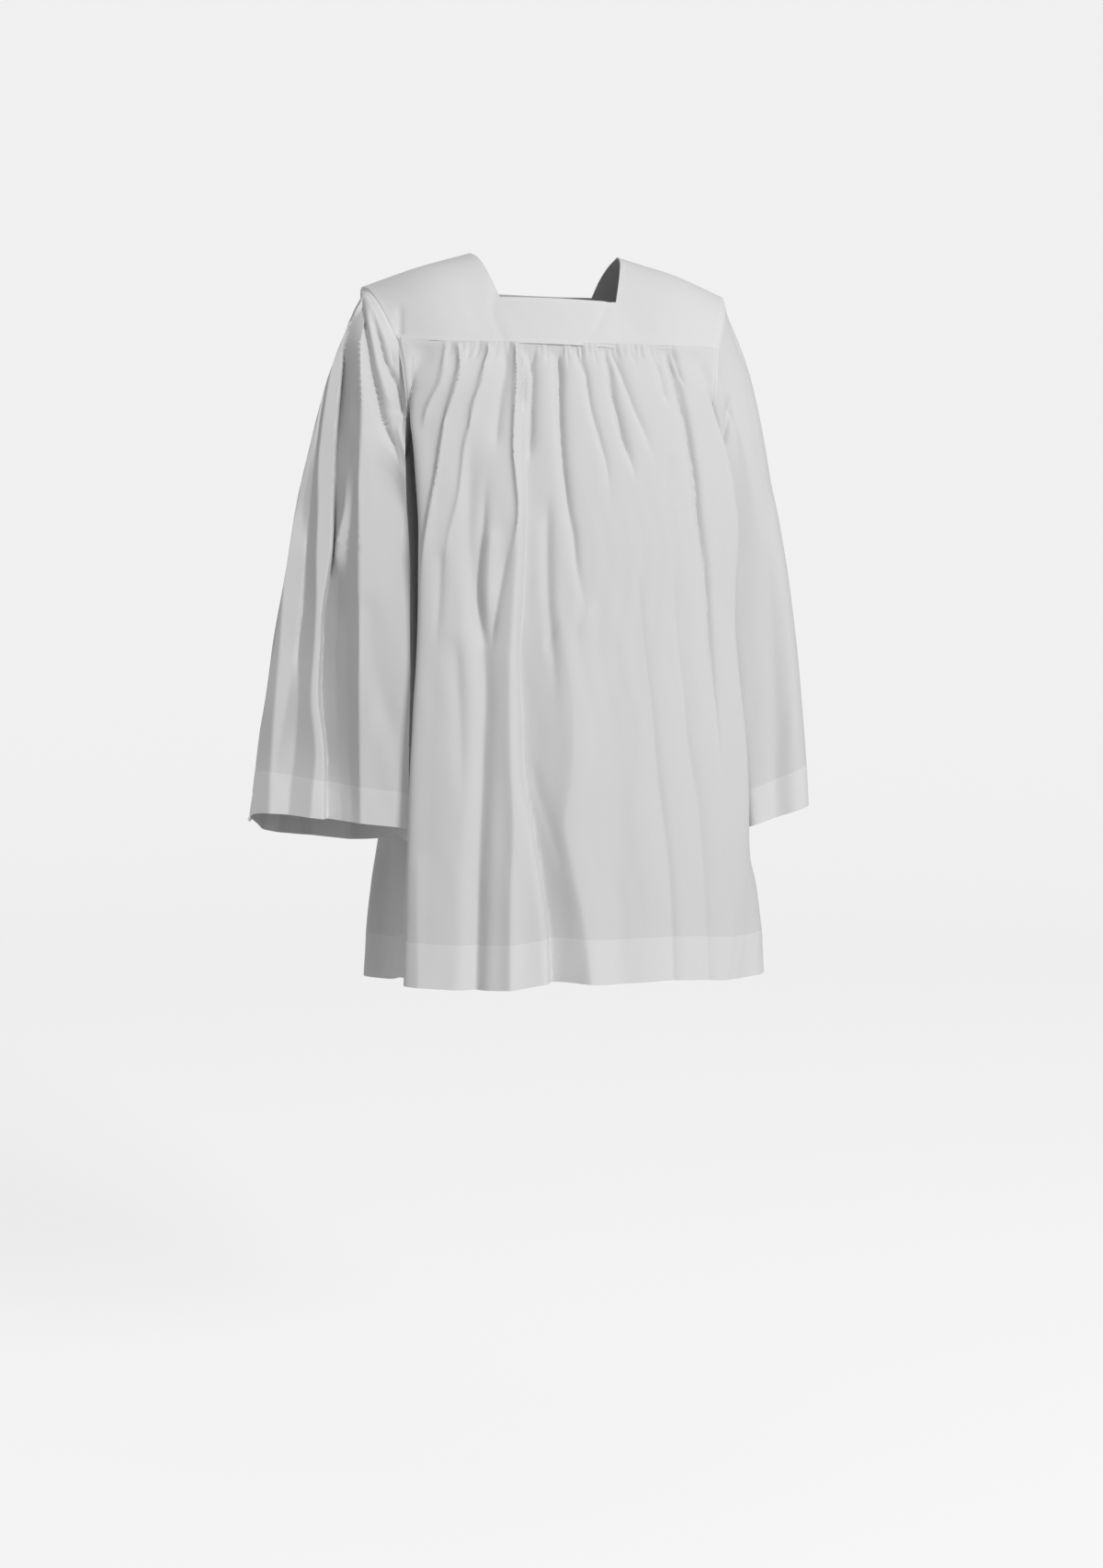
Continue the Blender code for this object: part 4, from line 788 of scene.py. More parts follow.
LEFT_SLEEVE_BACK = (
    Crease(((0.250, -0.110), (0.268, -0.300), (0.288, -0.500), (0.300, -0.760)),
           -0.0060, 0.010, 0.012, -0.0150, low_fade=0.0),
    Crease(((0.228, -0.100), (0.246, -0.300), (0.262, -0.520), (0.272, -0.760)),
           0.0050, 0.010, 0.012, 0.0110, low_fade=0.0),
    Crease(((0.210, -0.130), (0.226, -0.300), (0.240, -0.500), (0.252, -0.760)),
           -0.0040, 0.009, 0.011, -0.0140, low_fade=0.0),
    Crease(((0.226, -0.075), (0.220, -0.130), (0.204, -0.220)),
           -0.0036, 0.0045, 0.008, crisp=1.4),
)
FRONT_YOKE_CREASES = (
    Crease(((-0.074, -0.058), (-0.079, -0.080), (-0.066, -0.128)),
           -0.0009, 0.006, 0.004, top_fade=0.0, low_fade=0.3),
    Crease(((0.064, -0.060), (0.052, -0.080), (0.030, -0.118)),
           -0.0009, 0.004, 0.006, top_fade=0.0, low_fade=0.4),
    Crease(((-0.1850, -0.068), (-0.1865, -0.086), (-0.1885, -0.112)),
           -0.0026, 0.0050, 0.0034, top_fade=0.4, low_fade=0.1),
)


# ---------------------------------------------------------------------------------------
# Materials.
# ---------------------------------------------------------------------------------------


class Socket:
    """A shader socket, on which plain maths adds Math nodes."""

    def __init__(self, graph: "Graph", output: bpy.types.NodeSocket) -> None:
        """Wrap an output socket of a graph."""
        self.graph = graph
        self.output = output

    def _math(self, operation: str, *values: object) -> "Socket":
        """Return the result of a Math node."""
        return self.graph.node("ShaderNodeMath", {"operation": operation}, dict(enumerate(values)))

    def __add__(self, other: object) -> "Socket":
        """Return the sum."""
        return self._math("ADD", self, other)

    def __sub__(self, other: object) -> "Socket":
        """Return the difference."""
        return self._math("SUBTRACT", self, other)

    def __rsub__(self, other: object) -> "Socket":
        """Return the difference from a number."""
        return self._math("SUBTRACT", other, self)

    def __mul__(self, other: object) -> "Socket":
        """Return the product."""
        return self._math("MULTIPLY", self, other)

    __radd__ = __add__
    __rmul__ = __mul__

    def sine(self) -> "Socket":
        """Return the sine."""
        return self._math("SINE", self)

    def larger(self, other: object) -> "Socket":
        """Return the larger value."""
        return self._math("MAXIMUM", self, other)

    def between(self, low: float, high: float) -> "Socket":
        """Return 0 below low and 1 above high, with a soft rise between them."""
        return self.graph.node(
            "ShaderNodeMapRange",
            {"interpolation_type": "SMOOTHSTEP"},
            {"Value": self, "From Min": low, "From Max": high},
        )


class Graph:
    """The node tree of one material."""

    def __init__(self, name: str) -> None:
        """Make the material and find its shader."""
        self.material = bpy.data.materials.new(name)
        self.material.use_nodes = True
        self.tree = self.material.node_tree
        self.shader = self.tree.nodes["Principled BSDF"]

    def node(
        self,
        kind: str,
        settings: Dict[str, object],
        values: Dict[object, object],
        out: object = 0,
    ) -> Socket:
        """Add a node.

        Args:
            kind: The node's type.
            settings: Its properties, set first.
            values: Numbers, colours or sockets for its inputs.
            out: The name or number of the output to return.

        Returns:
            That output.
        """
        made = self.tree.nodes.new(kind)
        for key, value in settings.items():
            setattr(made, key, value)
        for key, value in values.items():
            self._feed(made.inputs[key], value)
        return Socket(self, made.outputs[out])

    def blend(self, share: Socket, first: Point, second: Point) -> Socket:
        """Return a colour between two, by share."""
        return self.node(
            "ShaderNodeMix",
            {"data_type": "RGBA"},
            {"Factor": share, "A": (*first, 1.0), "B": (*second, 1.0)},
            "Result",
        )

    def set(self, **values: object) -> None:
        """Feed the shader's inputs, with _ for each space in their names."""
        for key, value in values.items():
            self._feed(self.shader.inputs[key.replace("_", " ")], value)

    def _feed(self, target: bpy.types.NodeSocket, value: object) -> None:
        """Link a socket to an input, or set its value."""
        if isinstance(value, Socket):
            self.tree.links.new(value.output, target)
        else:
            target.default_value = value


@dataclass(frozen=True)
class Cotton:
    """Thin plain-woven white cotton, whose doubled hems and seams look whiter.

    Attributes:
        single: Its colour where it is one layer.
        double: Its colour where it is folded double.
        hem: The width of its turned hem, which a doubled piece doesn't have.
        doubled: Whether all of it is double.
    """

    single: Point = (0.662, 0.662, 0.664)
    double: Point = (0.722, 0.722, 0.724)
    hem: float = 0.0
    doubled: bool = False
    seam_allowance: float = 0.0065
    thread_pitch: float = 0.00045
    roughness: float = 0.86
    mottling: float = 0.16
    bump_strength: float = 0.35
    bump_depth: float = 0.00008
    fold_softness: float = 0.0004
    seam_tone: float = 0.8
    seam_tone_on_double: float = 0.12
    # Where all of the cloth is double: how far its colour goes from single towards double, held
    # below 1 as a painted shade that offsets the stronger light on the yokes' tops.
    doubled_tone_with_painted_shade: float = 0.60

    def material(self, name: str) -> bpy.types.Material:
        """Return the cotton as a material.

        Args:
            name: The material's name.

        Returns:
            The material.
        """
        graph = Graph(name)
        place = graph.node("ShaderNodeUVMap", {"uv_map": "cloth"}, {})
        across = graph.node("ShaderNodeSeparateXYZ", {}, {0: place}, "X")
        along = graph.node("ShaderNodeSeparateXYZ", {}, {0: place}, "Y")
        warp_slub = self._slub(graph, place, (900.0, 26.0, 1.0))
        weft_slub = self._slub(graph, place, (26.0, 900.0, 1.0))
        cloudy = self._slub(graph, place, (9.0, 7.0, 1.0))
        mottle = (warp_slub + weft_slub) * 0.5 + cloudy - 1.0
        thickness = self._thickness(graph, along)
        tone = thickness + mottle * self.mottling
        colour = graph.blend(tone, self.single, self.double)
        turn = 2 * math.pi / self.thread_pitch
        weave = (across * turn).sine() * (along * turn).sine()
        height = weave * 0.5 + (warp_slub + weft_slub) * 1.2
        normal = graph.node(
            "ShaderNodeBump",
            {},
            {"Strength": self.bump_strength, "Distance": self.bump_depth, "Height": height},
        )
        graph.set(
            Base_Color=colour,
            Roughness=mottle * 0.06 + self.roughness,
            Normal=normal,
            Sheen_Weight=0.12,
            Sheen_Roughness=0.45,
            Specular_IOR_Level=0.18,
        )
        return graph.material

    def _slub(self, graph: Graph, place: Socket, scale: Point) -> Socket:
        """Return the unevenness of the threads, stretched along one way of the cloth."""
        stretched = graph.node("ShaderNodeMapping", {}, {"Vector": place, "Scale": scale})
        return graph.node(
            "ShaderNodeTexNoise",
            {"noise_dimensions": "2D"},
            {"Vector": stretched, "Scale": 1.0, "Detail": 3.0, "Roughness": 0.55},
        )

    def _thickness(self, graph: Graph, along: Socket) -> Socket:
        """Return 0 where the cloth is single and 1 where a hem or seam doubles it; a piece that is
        all double is held at a lower share, a painted shade, a little higher beside its seams.
        """
        sewn = graph.node("ShaderNodeAttribute", {"attribute_name": "sewn"}, {}, "Fac")
        seam = 1.0 - self._past(sewn, self.seam_allowance)
        if self.doubled:
            return seam * self.seam_tone_on_double + self.doubled_tone_with_painted_shade
        turned = 1.0 - self._past(along, self.hem)
        return (seam * self.seam_tone).larger(turned)

    def _past(self, distance: Socket, edge: float) -> Socket:
        """Return 0 before a folded edge and 1 past it."""
        return distance.between(edge - self.fold_softness, edge + self.fold_softness)


@dataclass(frozen=True)
class Thread:
    """White sewing thread."""

    colour: Point = (0.80, 0.80, 0.81)
    shade: float = 0.9
    twist_scale: float = 2400.0

    def material(self, name: str) -> bpy.types.Material:
        """Return the thread as a material.

        Args:
            name: The material's name.

        Returns:
            The material.
        """
        graph = Graph(name)
        place = graph.node("ShaderNodeTexCoord", {}, {}, "Object")
        wound = {"Vector": place, "Scale": self.twist_scale, "Detail": 1.0}
        twist = graph.node("ShaderNodeTexNoise", {}, wound)
        shaded = tuple(self.shade * part for part in self.colour)
        colour = graph.blend(twist, shaded, self.colour)
        graph.set(Base_Color=colour, Roughness=0.6, Sheen_Weight=0.1)
        return graph.material


# ---------------------------------------------------------------------------------------
# Cloth.
# ---------------------------------------------------------------------------------------


@dataclass
class Cloth:
    """A grid of points on the outside of a piece of cloth, by row and column.

    Attributes:
        points: The grid's points.
        outward: 1 or -1, for the side of the grid that faces out.
        wall: The thickness of the cloth at each point.
        across: Where each point lies across the cut cloth, in metres.
        along: How far each point lies above the hem or lower edge, in metres.
        sewn: How far each point lies from the nearest seam, in metres.
        ring: Whether the last column meets the first.
    """

    points: np.ndarray
    outward: float
    wall: np.ndarray
    across: np.ndarray
    along: np.ndarray
    sewn: np.ndarray
    ring: bool = False

    def normals(self) -> np.ndarray:
        """Return the unit normal at each point, facing out."""
        across = np.gradient(self.points, axis=1)
        if self.ring:
            joined = self.points[:, 1] - self.points[:, -2]
            across[:, 0] = joined
            across[:, -1] = joined
        return self.outward * unit(np.cross(np.gradient(self.points, axis=0), across))

    def move_out(self, lift: np.ndarray) -> None:
        """Move each point along its normal."""
        self.points = self.points + self.normals() * lift[..., None]

    def row_at(self, distance: float) -> Tuple[np.ndarray, np.ndarray]:
        """Return the line that lies this far above the lower edge, and its normals.

        Args:
            distance: The distance above the lower edge, in metres.

        Returns:
            The line's points and the way out at each of them.
        """
        normals = self.normals()
        line = np.empty((self.points.shape[1], 3))
        out = np.empty_like(line)
        for column in range(self.points.shape[1]):
            keys = self.along[::-1, column]
            for axis in range(3):
                line[column, axis] = np.interp(distance, keys, self.points[::-1, column, axis])
                out[column, axis] = np.interp(distance, keys, normals[::-1, column, axis])
        return line, unit(out)


class Tailor:
    """Turns grids of points into cloth objects."""

    WALL_GROUP = "wall"
    SMOOTH_BELOW = math.radians(50)
    WELD = 0.00002

    def sew(
        self,
        name: str,
        cloth: Cloth,
        material: bpy.types.Material,
        hole: Optional[Callable[[float, float], bool]] = None,
    ) -> bpy.types.Object:
        """Make one piece of cloth.

        Args:
            name: The piece's name.
            cloth: Its grid.
            material: Its finish.
            hole: Says whether the cell at this row and column is cut out.

        Returns:
            The finished object.
        """
        rows, columns = (count - 1 for count in cloth.points.shape[:2])
        bpy.ops.object.select_all(action="DESELECT")
        bpy.ops.mesh.primitive_grid_add(x_subdivisions=columns, y_subdivisions=rows, size=2.0)
        piece = bpy.context.active_object
        piece.name = name
        piece.data.name = name
        if hole is not None:
            self._cut(piece, rows, columns, hole)
        row, column = self._grid_places(piece.data, rows, columns)
        piece.data.vertices.foreach_set("co", cloth.points[row, column].astype(np.float32).ravel())
        self._mark(piece, cloth, row, column)
        if cloth.ring:
            self._join_ends(piece)
        self._face_out(piece, cloth)
        self._thicken(piece, cloth)
        piece.data.materials.append(material)
        bpy.ops.object.shade_smooth_by_angle(angle=self.SMOOTH_BELOW)
        return piece

    def _grid_places(
        self, mesh: bpy.types.Mesh, rows: int, columns: int
    ) -> Tuple[np.ndarray, np.ndarray]:
        """Return the row and column of each vertex of a flat grid, rows counted from the top."""
        flat = np.empty(len(mesh.vertices) * 3)
        mesh.vertices.foreach_get("co", flat)
        flat = flat.reshape(-1, 3)
        column = np.rint((flat[:, 0] + 1) / 2 * columns).astype(int)
        row = np.rint((1 - flat[:, 1]) / 2 * rows).astype(int)
        return row, column

    def _cut(
        self,
        piece: bpy.types.Object,
        rows: int,
        columns: int,
        hole: Callable[[float, float], bool],
    ) -> None:
        """Delete the cells of the flat grid that a hole takes."""
        for face in piece.data.polygons:
            column = (face.center.x + 1) / 2 * columns
            row = (1 - face.center.y) / 2 * rows
            face.select = hole(row, column)
        for vertex in piece.data.vertices:
            vertex.select = False
        for edge in piece.data.edges:
            edge.select = False
        bpy.ops.object.mode_set(mode="EDIT")
        bpy.ops.mesh.select_mode(type="FACE")
        bpy.ops.mesh.delete(type="FACE")
        bpy.ops.mesh.select_mode(type="VERT")
        bpy.ops.object.mode_set(mode="OBJECT")

    def _mark(
        self, piece: bpy.types.Object, cloth: Cloth, row: np.ndarray, column: np.ndarray
    ) -> None:
        """Give the mesh its UV map in metres, its seam distances and its thickness."""
        mesh = piece.data
        corner = np.empty(len(mesh.loops), int)
        mesh.loops.foreach_get("vertex_index", corner)
        places = np.stack([cloth.across[row, column], cloth.along[row, column]], axis=1)
        mesh.uv_layers[0].name = "cloth"
        mesh.uv_layers["cloth"].data.foreach_set("uv", places[corner].astype(np.float32).ravel())
        sewn = mesh.attributes.new("sewn", "FLOAT", "POINT")
        sewn.data.foreach_set("value", cloth.sewn[row, column].astype(np.float32))
        group = piece.vertex_groups.new(name=self.WALL_GROUP)
        share = cloth.wall[row, column] / cloth.wall.max()
        for value in np.unique(np.round(share, 2)):
            chosen = np.flatnonzero(np.isclose(np.round(share, 2), value))
            group.add(chosen.tolist(), float(value), "REPLACE")

    def _join_ends(self, piece: bpy.types.Object) -> None:
        """Join the last column of a ring to its first."""
        bpy.ops.object.mode_set(mode="EDIT")
        bpy.ops.mesh.select_all(action="SELECT")
        bpy.ops.mesh.remove_doubles(threshold=self.WELD)
        bpy.ops.mesh.select_all(action="DESELECT")
        bpy.ops.object.mode_set(mode="OBJECT")

    def _face_out(self, piece: bpy.types.Object, cloth: Cloth) -> None:
        """Turn the faces so that they face out."""
        mesh = piece.data
        mesh.update()
        face = mesh.polygons[len(mesh.polygons) // 2]
        middle = np.array(face.center)
        gaps = np.linalg.norm(cloth.points - middle, axis=2)
        row, column = np.unravel_index(gaps.argmin(), gaps.shape)
        if np.dot(np.array(face.normal), cloth.normals()[row, column]) < 0:
            mesh.flip_normals()

    def _thicken(self, piece: bpy.types.Object, cloth: Cloth) -> None:
        """Give the cloth its wall, inwards."""
        solid = piece.modifiers.new("wall", "SOLIDIFY")
        solid.thickness = float(cloth.wall.max())
        solid.offset = -1.0
        solid.use_even_offset = False
        solid.vertex_group = self.WALL_GROUP
        bpy.ops.object.modifier_apply(modifier=solid.name)


# How far the cloth has to face a crease's side, and what is added for each piece, so that
# the creases reach round its turn. Then where a sleeve faces the body, and stays plain.
FACING_FROM = (0.15, 0.60)
YOKE_REACH = 0.6
SLEEVE_FRONT_REACH = 0.25
SLEEVE_BACK_REACH = 0.15
NEXT_TO_BODY = (0.55, 0.90)
# The slow waves of hanging cloth: their widths, their lengths and their shares.
WAVES = ((0.061, 0.52, 0.40), (0.037, 0.31, 0.26), (0.023, 0.21, 0.18), (0.085, 0.17, 0.16))


def creased(points: np.ndarray, creases: Sequence[Crease], facing: np.ndarray) -> np.ndarray:
    """Add up what the creases do to the cloth.

    Args:
        points: The grid's points.
        creases: The creases of the side that faces this way.
        facing: 1 where the cloth faces that way, and below 0 where it faces away.

    Returns:
        The move of each point along its normal.
    """
    total = np.zeros(points.shape[:2])
    for crease in creases:
        total += crease.lift(points[..., 0], points[..., 2])
    return total * ease(facing, *FACING_FROM)


def rumple(points: np.ndarray, amplitude: float, seed: float) -> np.ndarray:
    """Return slow soft waves that keep hanging cloth from looking turned.

    Args:
        points: The grid's points.
        amplitude: The height of the waves.
        seed: Sets where the waves lie.

    Returns:
        The move of each point along its normal.
    """
    round_place = points[..., 0] + 0.7 * points[..., 1]
    height = points[..., 2]
    total = np.zeros(points.shape[:2])
    for number, (width, length, share) in enumerate(WAVES):
        phase = seed * (1.7 + number)
        sway = 0.35 * np.sin(2 * math.pi * height / length + 2.1 * phase)
        total += share * np.sin(2 * math.pi * (round_place / width + sway) + phase)
        total *= 0.75 + 0.25 * np.sin(2 * math.pi * height / (2.3 * length) + phase)
    return amplitude * total


def hemmed(above: np.ndarray, hem: float) -> np.ndarray:
    """Return 1 where a turned hem doubles the cloth and 0 above its fold."""
    return 1 - ease(above, hem - HEM_STEP_HALF_WIDTH, hem + HEM_STEP_HALF_WIDTH)


def sunk(from_seam: np.ndarray) -> np.ndarray:
    """Return how far a seam draws the cloth in beside it."""
    return SEAM_SINKS * np.exp(-((from_seam / SEAM_SINKS_OVER) ** 2))


@dataclass
class Yoke:
    """A flat doubled yoke with its part of the square neck opening."""

    name: str
    facing: Facing
    cut: Dict[str, Tuple[Point, ...]]
    creases: Tuple[Crease, ...] = ()
    cloth: float = 0.0015
    shoulder_columns: int = 44
    neck_columns: int = 56
    neck_rows: int = 34
    band_rows: int = 26
    waviness: float = 0.0007
    shoulder_sinks: float = 0.00045
    edge_rises: float = 0.0003
    roll: float = 0.0022
    edge_rises_at: float = 0.0016
    waves_set_in_by: float = 0.03

    def levels(self) -> np.ndarray:
        """Return the fine rows, counted in the cut's levels."""
        upper = np.linspace(0, NECK_EDGE_LEVEL, self.neck_rows + 1)
        lower = np.linspace(NECK_EDGE_LEVEL, LAST_YOKE_LEVEL, self.band_rows + 1)[1:]
        return np.concatenate([upper, lower])

    def edge(self, name: str, levels: np.ndarray) -> np.ndarray:
        """Read one line of the cut at fine levels.

        Args:
            name: The line's name.
            levels: The levels, from the shoulder seam to the gathers.

        Returns:
            The points on the wearer's left.
        """
        line = np.array(self.cut[name])
        keys = np.arange(len(line))
        if name != "neck":
            return smooth(keys, line, levels)
        above = smooth(keys[:-1], line[:-1], levels)
        below = smooth(keys[-2:], line[-2:], levels)
        return np.where((levels > NECK_EDGE_LEVEL)[:, None], below, above)

    def sides(self, side: Side) -> np.ndarray:
        """Return the fine line of the armhole along one side."""
        levels = self.levels()
        line = self.edge("side", levels)
        if side is Side.RIGHT:
            return line * (-1.0, 1.0, 1.0)
        line[:, 2] -= LEFT_SETTLES * levels / LAST_YOKE_LEVEL
        return line

    def grid(self) -> np.ndarray:
        """Return the grid from right to left, with the neck's opening still filled."""
        levels = self.levels()
        lines = {name: self.edge(name, levels) for name in ("side", "shoulder", "neck")}
        places = np.linspace(0.0, 1.0, self.shoulder_columns + 1)
        across = np.linspace(0.0, 1.0, self.neck_columns + 1)[1:-1, None]
        middle = smooth((NECK_EDGE_LEVEL, LAST_YOKE_LEVEL), np.array(self.cut["middle"]), levels)
        rows = []
        for number, level in enumerate(levels):
            strip = np.array([line[number] for line in lines.values()])
            left = Section(strip).at(places)
            right = left * (-1.0, 1.0, 1.0)
            left[:, 2] -= LEFT_SETTLES * level / LAST_YOKE_LEVEL
            if level < NECK_EDGE_LEVEL:
                inner = right[-1] * (1 - across) + left[-1] * across
            else:
                inner = right[-1] * (1 - across) * (1 - 2 * across)
                inner += left[-1] * across * (2 * across - 1)
                inner += middle[number] * 4 * across * (1 - across)
            rows.append(np.concatenate([right, inner, left[::-1]]))
        return np.array(rows)

    def in_neck(self, row: float, column: float) -> bool:
        """Return whether a cell is part of the neck's opening."""
        first = self.shoulder_columns
        return row < self.neck_rows and first < column < first + self.neck_columns

    def make(self) -> Cloth:
        """Return the yoke's grid of cloth."""
        points = self.grid()
        outward = -self.facing.value
        rows = np.linalg.norm(np.diff(points, axis=0), axis=2)
        depth = np.concatenate([np.zeros((1, points.shape[1])), np.cumsum(rows, axis=0)])
        steps = np.linalg.norm(np.diff(points, axis=1), axis=2)
        across = np.concatenate([np.zeros((points.shape[0], 1)), np.cumsum(steps, axis=1)], axis=1)
        along = depth[-1] - depth
        sewn = np.minimum(np.minimum(along, depth), np.minimum(across, across[:, -1:] - across))
        sewn = np.minimum(sewn, self._to_neck(across, depth))
        cloth = Cloth(points, outward, np.full(points.shape[:2], self.cloth), across, along, sewn)
        facing = cloth.normals()[..., 1] * self.facing.value
        waves = rumple(points, self.waviness, 2.0 + self.facing.value)
        lift = creased(points, self.creases, facing + YOKE_REACH)
        lift += waves * ease(sewn, 0.0, self.waves_set_in_by)
        lift -= self.shoulder_sinks * np.exp(-((depth / self.roll) ** 2))
        lift += self.edge_rises * np.exp(-(((along - self.edge_rises_at) / self.roll) ** 2))
        cloth.move_out(lift)
        return cloth

    def _to_neck(self, across: np.ndarray, depth: np.ndarray) -> np.ndarray:
        """Return how far each point lies from the neck's edge."""
        first = self.shoulder_columns
        last = first + self.neck_columns
        edge_row = self.neck_rows
        right, left = across[:, first : first + 1], across[:, last : last + 1]
        beside = np.maximum(right - across, across - left)
        under = depth - depth[edge_row : edge_row + 1]
        return np.hypot(np.maximum(beside, 0.0), np.maximum(under, 0.0))


@dataclass
class Panel:
    """A gathered panel of single cotton with a turned hem."""

    name: str
    facing: Facing
    levels: Tuple[PanelLevel, ...]
    armhole: Tuple[Point, ...]
    rows_above: Tuple[float, ...]
    wave: Line
    creases: Tuple[Crease, ...]
    seed: float
    wall: float = 0.0009
    hem_wall: float = 0.0014
    cut_width: float = 0.72
    columns: int = 400
    rows: int = 110
    tuck: float = 0.0021
    tuck_depth: float = 0.003
    closer_rows: float = 1.28
    waviness: float = 0.0011
    seam_keeps: float = 0.70
    seam_keeps_over: float = 0.016
    steepest_out: float = 1.5
    steepest_in: float = 0.45
    deepest_at_seam: float = 1.15
    columns_by_edge: Tuple[float, ...] = (0.0012, 0.0026, 0.00468)
    waves_set_in: Tuple[float, float] = (0.01, 0.12)
    edge_stays_plain: float = 0.030
    hem_moves_from: Tuple[float, float] = (0.30, 0.74)
    tuck_height: float = 0.006

    def heights(self) -> np.ndarray:
        """Return the height of each fine row: close under the yoke, wider apart below."""
        part = np.linspace(0.0, 1.0, self.rows + 1) ** self.closer_rows
        top = self.rows_above[0]
        return top + (-HEM_DROP - top) * part

    def cloth_places(self) -> np.ndarray:
        """Return where the columns lie across the cut cloth, closer at both edges."""
        near = np.array(self.columns_by_edge)
        even = np.linspace(0.0, 1.0, self.columns + 1 - 2 * len(near))
        return np.sort(np.concatenate([even, near, 1 - near]))

    def read(self, name: str, z: np.ndarray) -> np.ndarray:
        """Return a column of the panel's table at these heights."""
        keys = np.array([level.z for level in self.levels])[::-1]
        values = np.array([[getattr(level, name)] for level in self.levels])[::-1]
        return smooth(keys, values, z)[:, 0]

    def side(self, side: Side, heights: np.ndarray) -> np.ndarray:
        """Return the panel's edge: down the armhole, then down the side seam.

        Args:
            side: Which edge.
            heights: The heights of the fine rows.

        Returns:
            One point for each row.
        """
        keys = np.array(self.rows_above)[::-1]
        shares = smooth(keys, np.array(ARMHOLE_SHARES)[::-1, None], heights)[:, 0]
        upper = Section(np.array(self.armhole)).at(np.clip(shares, 0.0, 1.0))
        upper = upper * (side.value, 1.0, 1.0)
        if side is Side.LEFT:
            upper[:, 2] -= LEFT_SETTLES * (1 - ease(shares, 0.0, 1.0))
        name = side.name.lower() + "_x"
        table = np.array([(getattr(row, name), row.y, row.z) for row in SIDE_LEVELS])[::-1]
        lower = smooth(table[:, 2], table, np.minimum(heights, table[-1, 2]))
        share_below = ease(-heights, *SIDE_SEAM_TAKES_OVER)[:, None]
        return upper * (1 - share_below) + lower * share_below

    def stations(
        self, z: float, row: int, sides: Dict[Side, np.ndarray], table: Dict[str, np.ndarray]
    ) -> np.ndarray:
        """Return the points that the panel's section passes through at one height."""
        middle_y = table["middle_y"][row]
        halves = []
        for side in (Side.RIGHT, Side.LEFT):
            name = side.name.lower()
            edge_x = table[name + "_x"][row]
            edge_y = table[name + "_y"][row]
            edge = np.array([edge_x, edge_y, z])
            end = sides[side][row]
            behind = edge + (end - edge) * BEHIND_FOLD
            between = [
                np.array([edge_x * across, edge_y + (middle_y - edge_y) * ahead, z])
                for across, ahead in (BEFORE_FOLD, QUARTER_OF_FRONT)
            ]
            halves.append([end, behind, edge, *between])
        right, left = halves
        return np.array([*right, (0.0, middle_y, z), *left[::-1]])

    def spread(self, cloth: np.ndarray, marks: np.ndarray, below: float) -> np.ndarray:
        """Return where the columns lie along one section, at this depth below the seam."""
        turned = float(ease(np.array(below), 0.0, SIDE_FOLDS_BY))
        folds = marks[[RIGHT_FOLD_STATION, LEFT_FOLD_STATION]]
        right, left = np.array(GATHERED_SEAM) * (1 - turned) + folds * turned
        keys = np.array((0.0, *GATHERED_CLOTH, 1.0))[:, None]
        places = np.array((0.0, right, left, 1.0))
        return np.interp(cloth, keys[:, 0], places)

    def base(self, heights: np.ndarray) -> np.ndarray:
        """Return the panel's plain grid, without folds."""
        cloth = self.cloth_places()
        sides = {side: self.side(side, heights) for side in Side}
        names = ("middle_y", "right_x", "right_y", "left_x", "left_y")
        table = {name: self.read(name, heights) for name in names}
        rows = []
        for row, z in enumerate(heights):
            section = Section(self.stations(z, row, sides, table))
            rows.append(section.at(self.spread(cloth, section.marks(), heights[0] - z)))
        return np.array(rows)

    def meet_yoke(self, points: np.ndarray, below: np.ndarray) -> np.ndarray:
        """Return the move in y that keeps the cloth near its seam from standing proud."""
        yoke = FRONT_YOKE if self.facing is Facing.FRONT else BACK_YOKE
        guides = (yoke["middle"][-1], *(yoke[name][-1] for name in ("neck", "shoulder", "side")))
        places = [guide[0] for guide in guides]
        depths = np.array([guide[1] for guide in guides])
        edge = smooth(places, depths[:, None], np.abs(points[0, :, 0])).ravel()
        proud = (points[0, :, 1] - edge) * self.facing.value
        back = np.maximum(proud - self.tuck, 0.0) * (1 - ease(below, 0.0, SEAM_EASES_BY))
        return -self.facing.value * back

    def hem_move(self, points: np.ndarray) -> np.ndarray:
        """Return how far the hem under each point lies above its mean height in front."""
        places, rises = np.array(self.wave).T
        behind = ease(points[..., 1], *BEHIND_FROM)
        rise = smooth(places, rises[:, None], points[..., 0].ravel()).reshape(points.shape[:2])
        return rise * np.abs(2 * behind - 1) - BACK_HEM_DROP * behind

    def make(self) -> Cloth:
        """Return the panel's grid of cloth."""
        heights = self.heights()
        cut = self.cloth_places()
        points = self.base(heights)
        below = (heights[0] - heights)[:, None] * np.ones(len(cut))
        points[..., 1] += self.meet_yoke(points, below)
        along = (heights + HEM_DROP)[:, None] * np.ones(len(cut))
        across = self.cut_width * cut[None, :] * np.ones((len(heights), 1))
        edge = np.minimum(across, self.cut_width - across)
        turned = hemmed(along, BODY_HEM)
        wall = self.wall + (self.hem_wall - self.wall) * turned
        cloth = Cloth(points, -self.facing.value, wall, across, along, edge)
        lift = creased(points, self.creases, cloth.normals()[..., 1] * self.facing.value)
        lift += rumple(points, self.waviness, self.seed) * ease(below, *self.waves_set_in)
        lift *= ease(edge, 0.0, self.edge_stays_plain)
        lift += (self.hem_wall - self.wall) / 2 * turned
        lift -= sunk(edge)
        lift *= self.seam_keeps + (1 - self.seam_keeps) * ease(below, 0.0, self.seam_keeps_over)
        lift = np.minimum(lift, self.steepest_out * below - self.tuck)
        lift = np.maximum(lift, -self.steepest_in * below - self.deepest_at_seam * self.tuck)
        cloth.move_out(lift)
        cloth.points[..., 2] += self.hem_move(cloth.points) * ease(below, *self.hem_moves_from)
        cloth.points[..., 2] += self.tuck_depth * (1 - ease(below, 0.0, self.tuck_height))
        return cloth


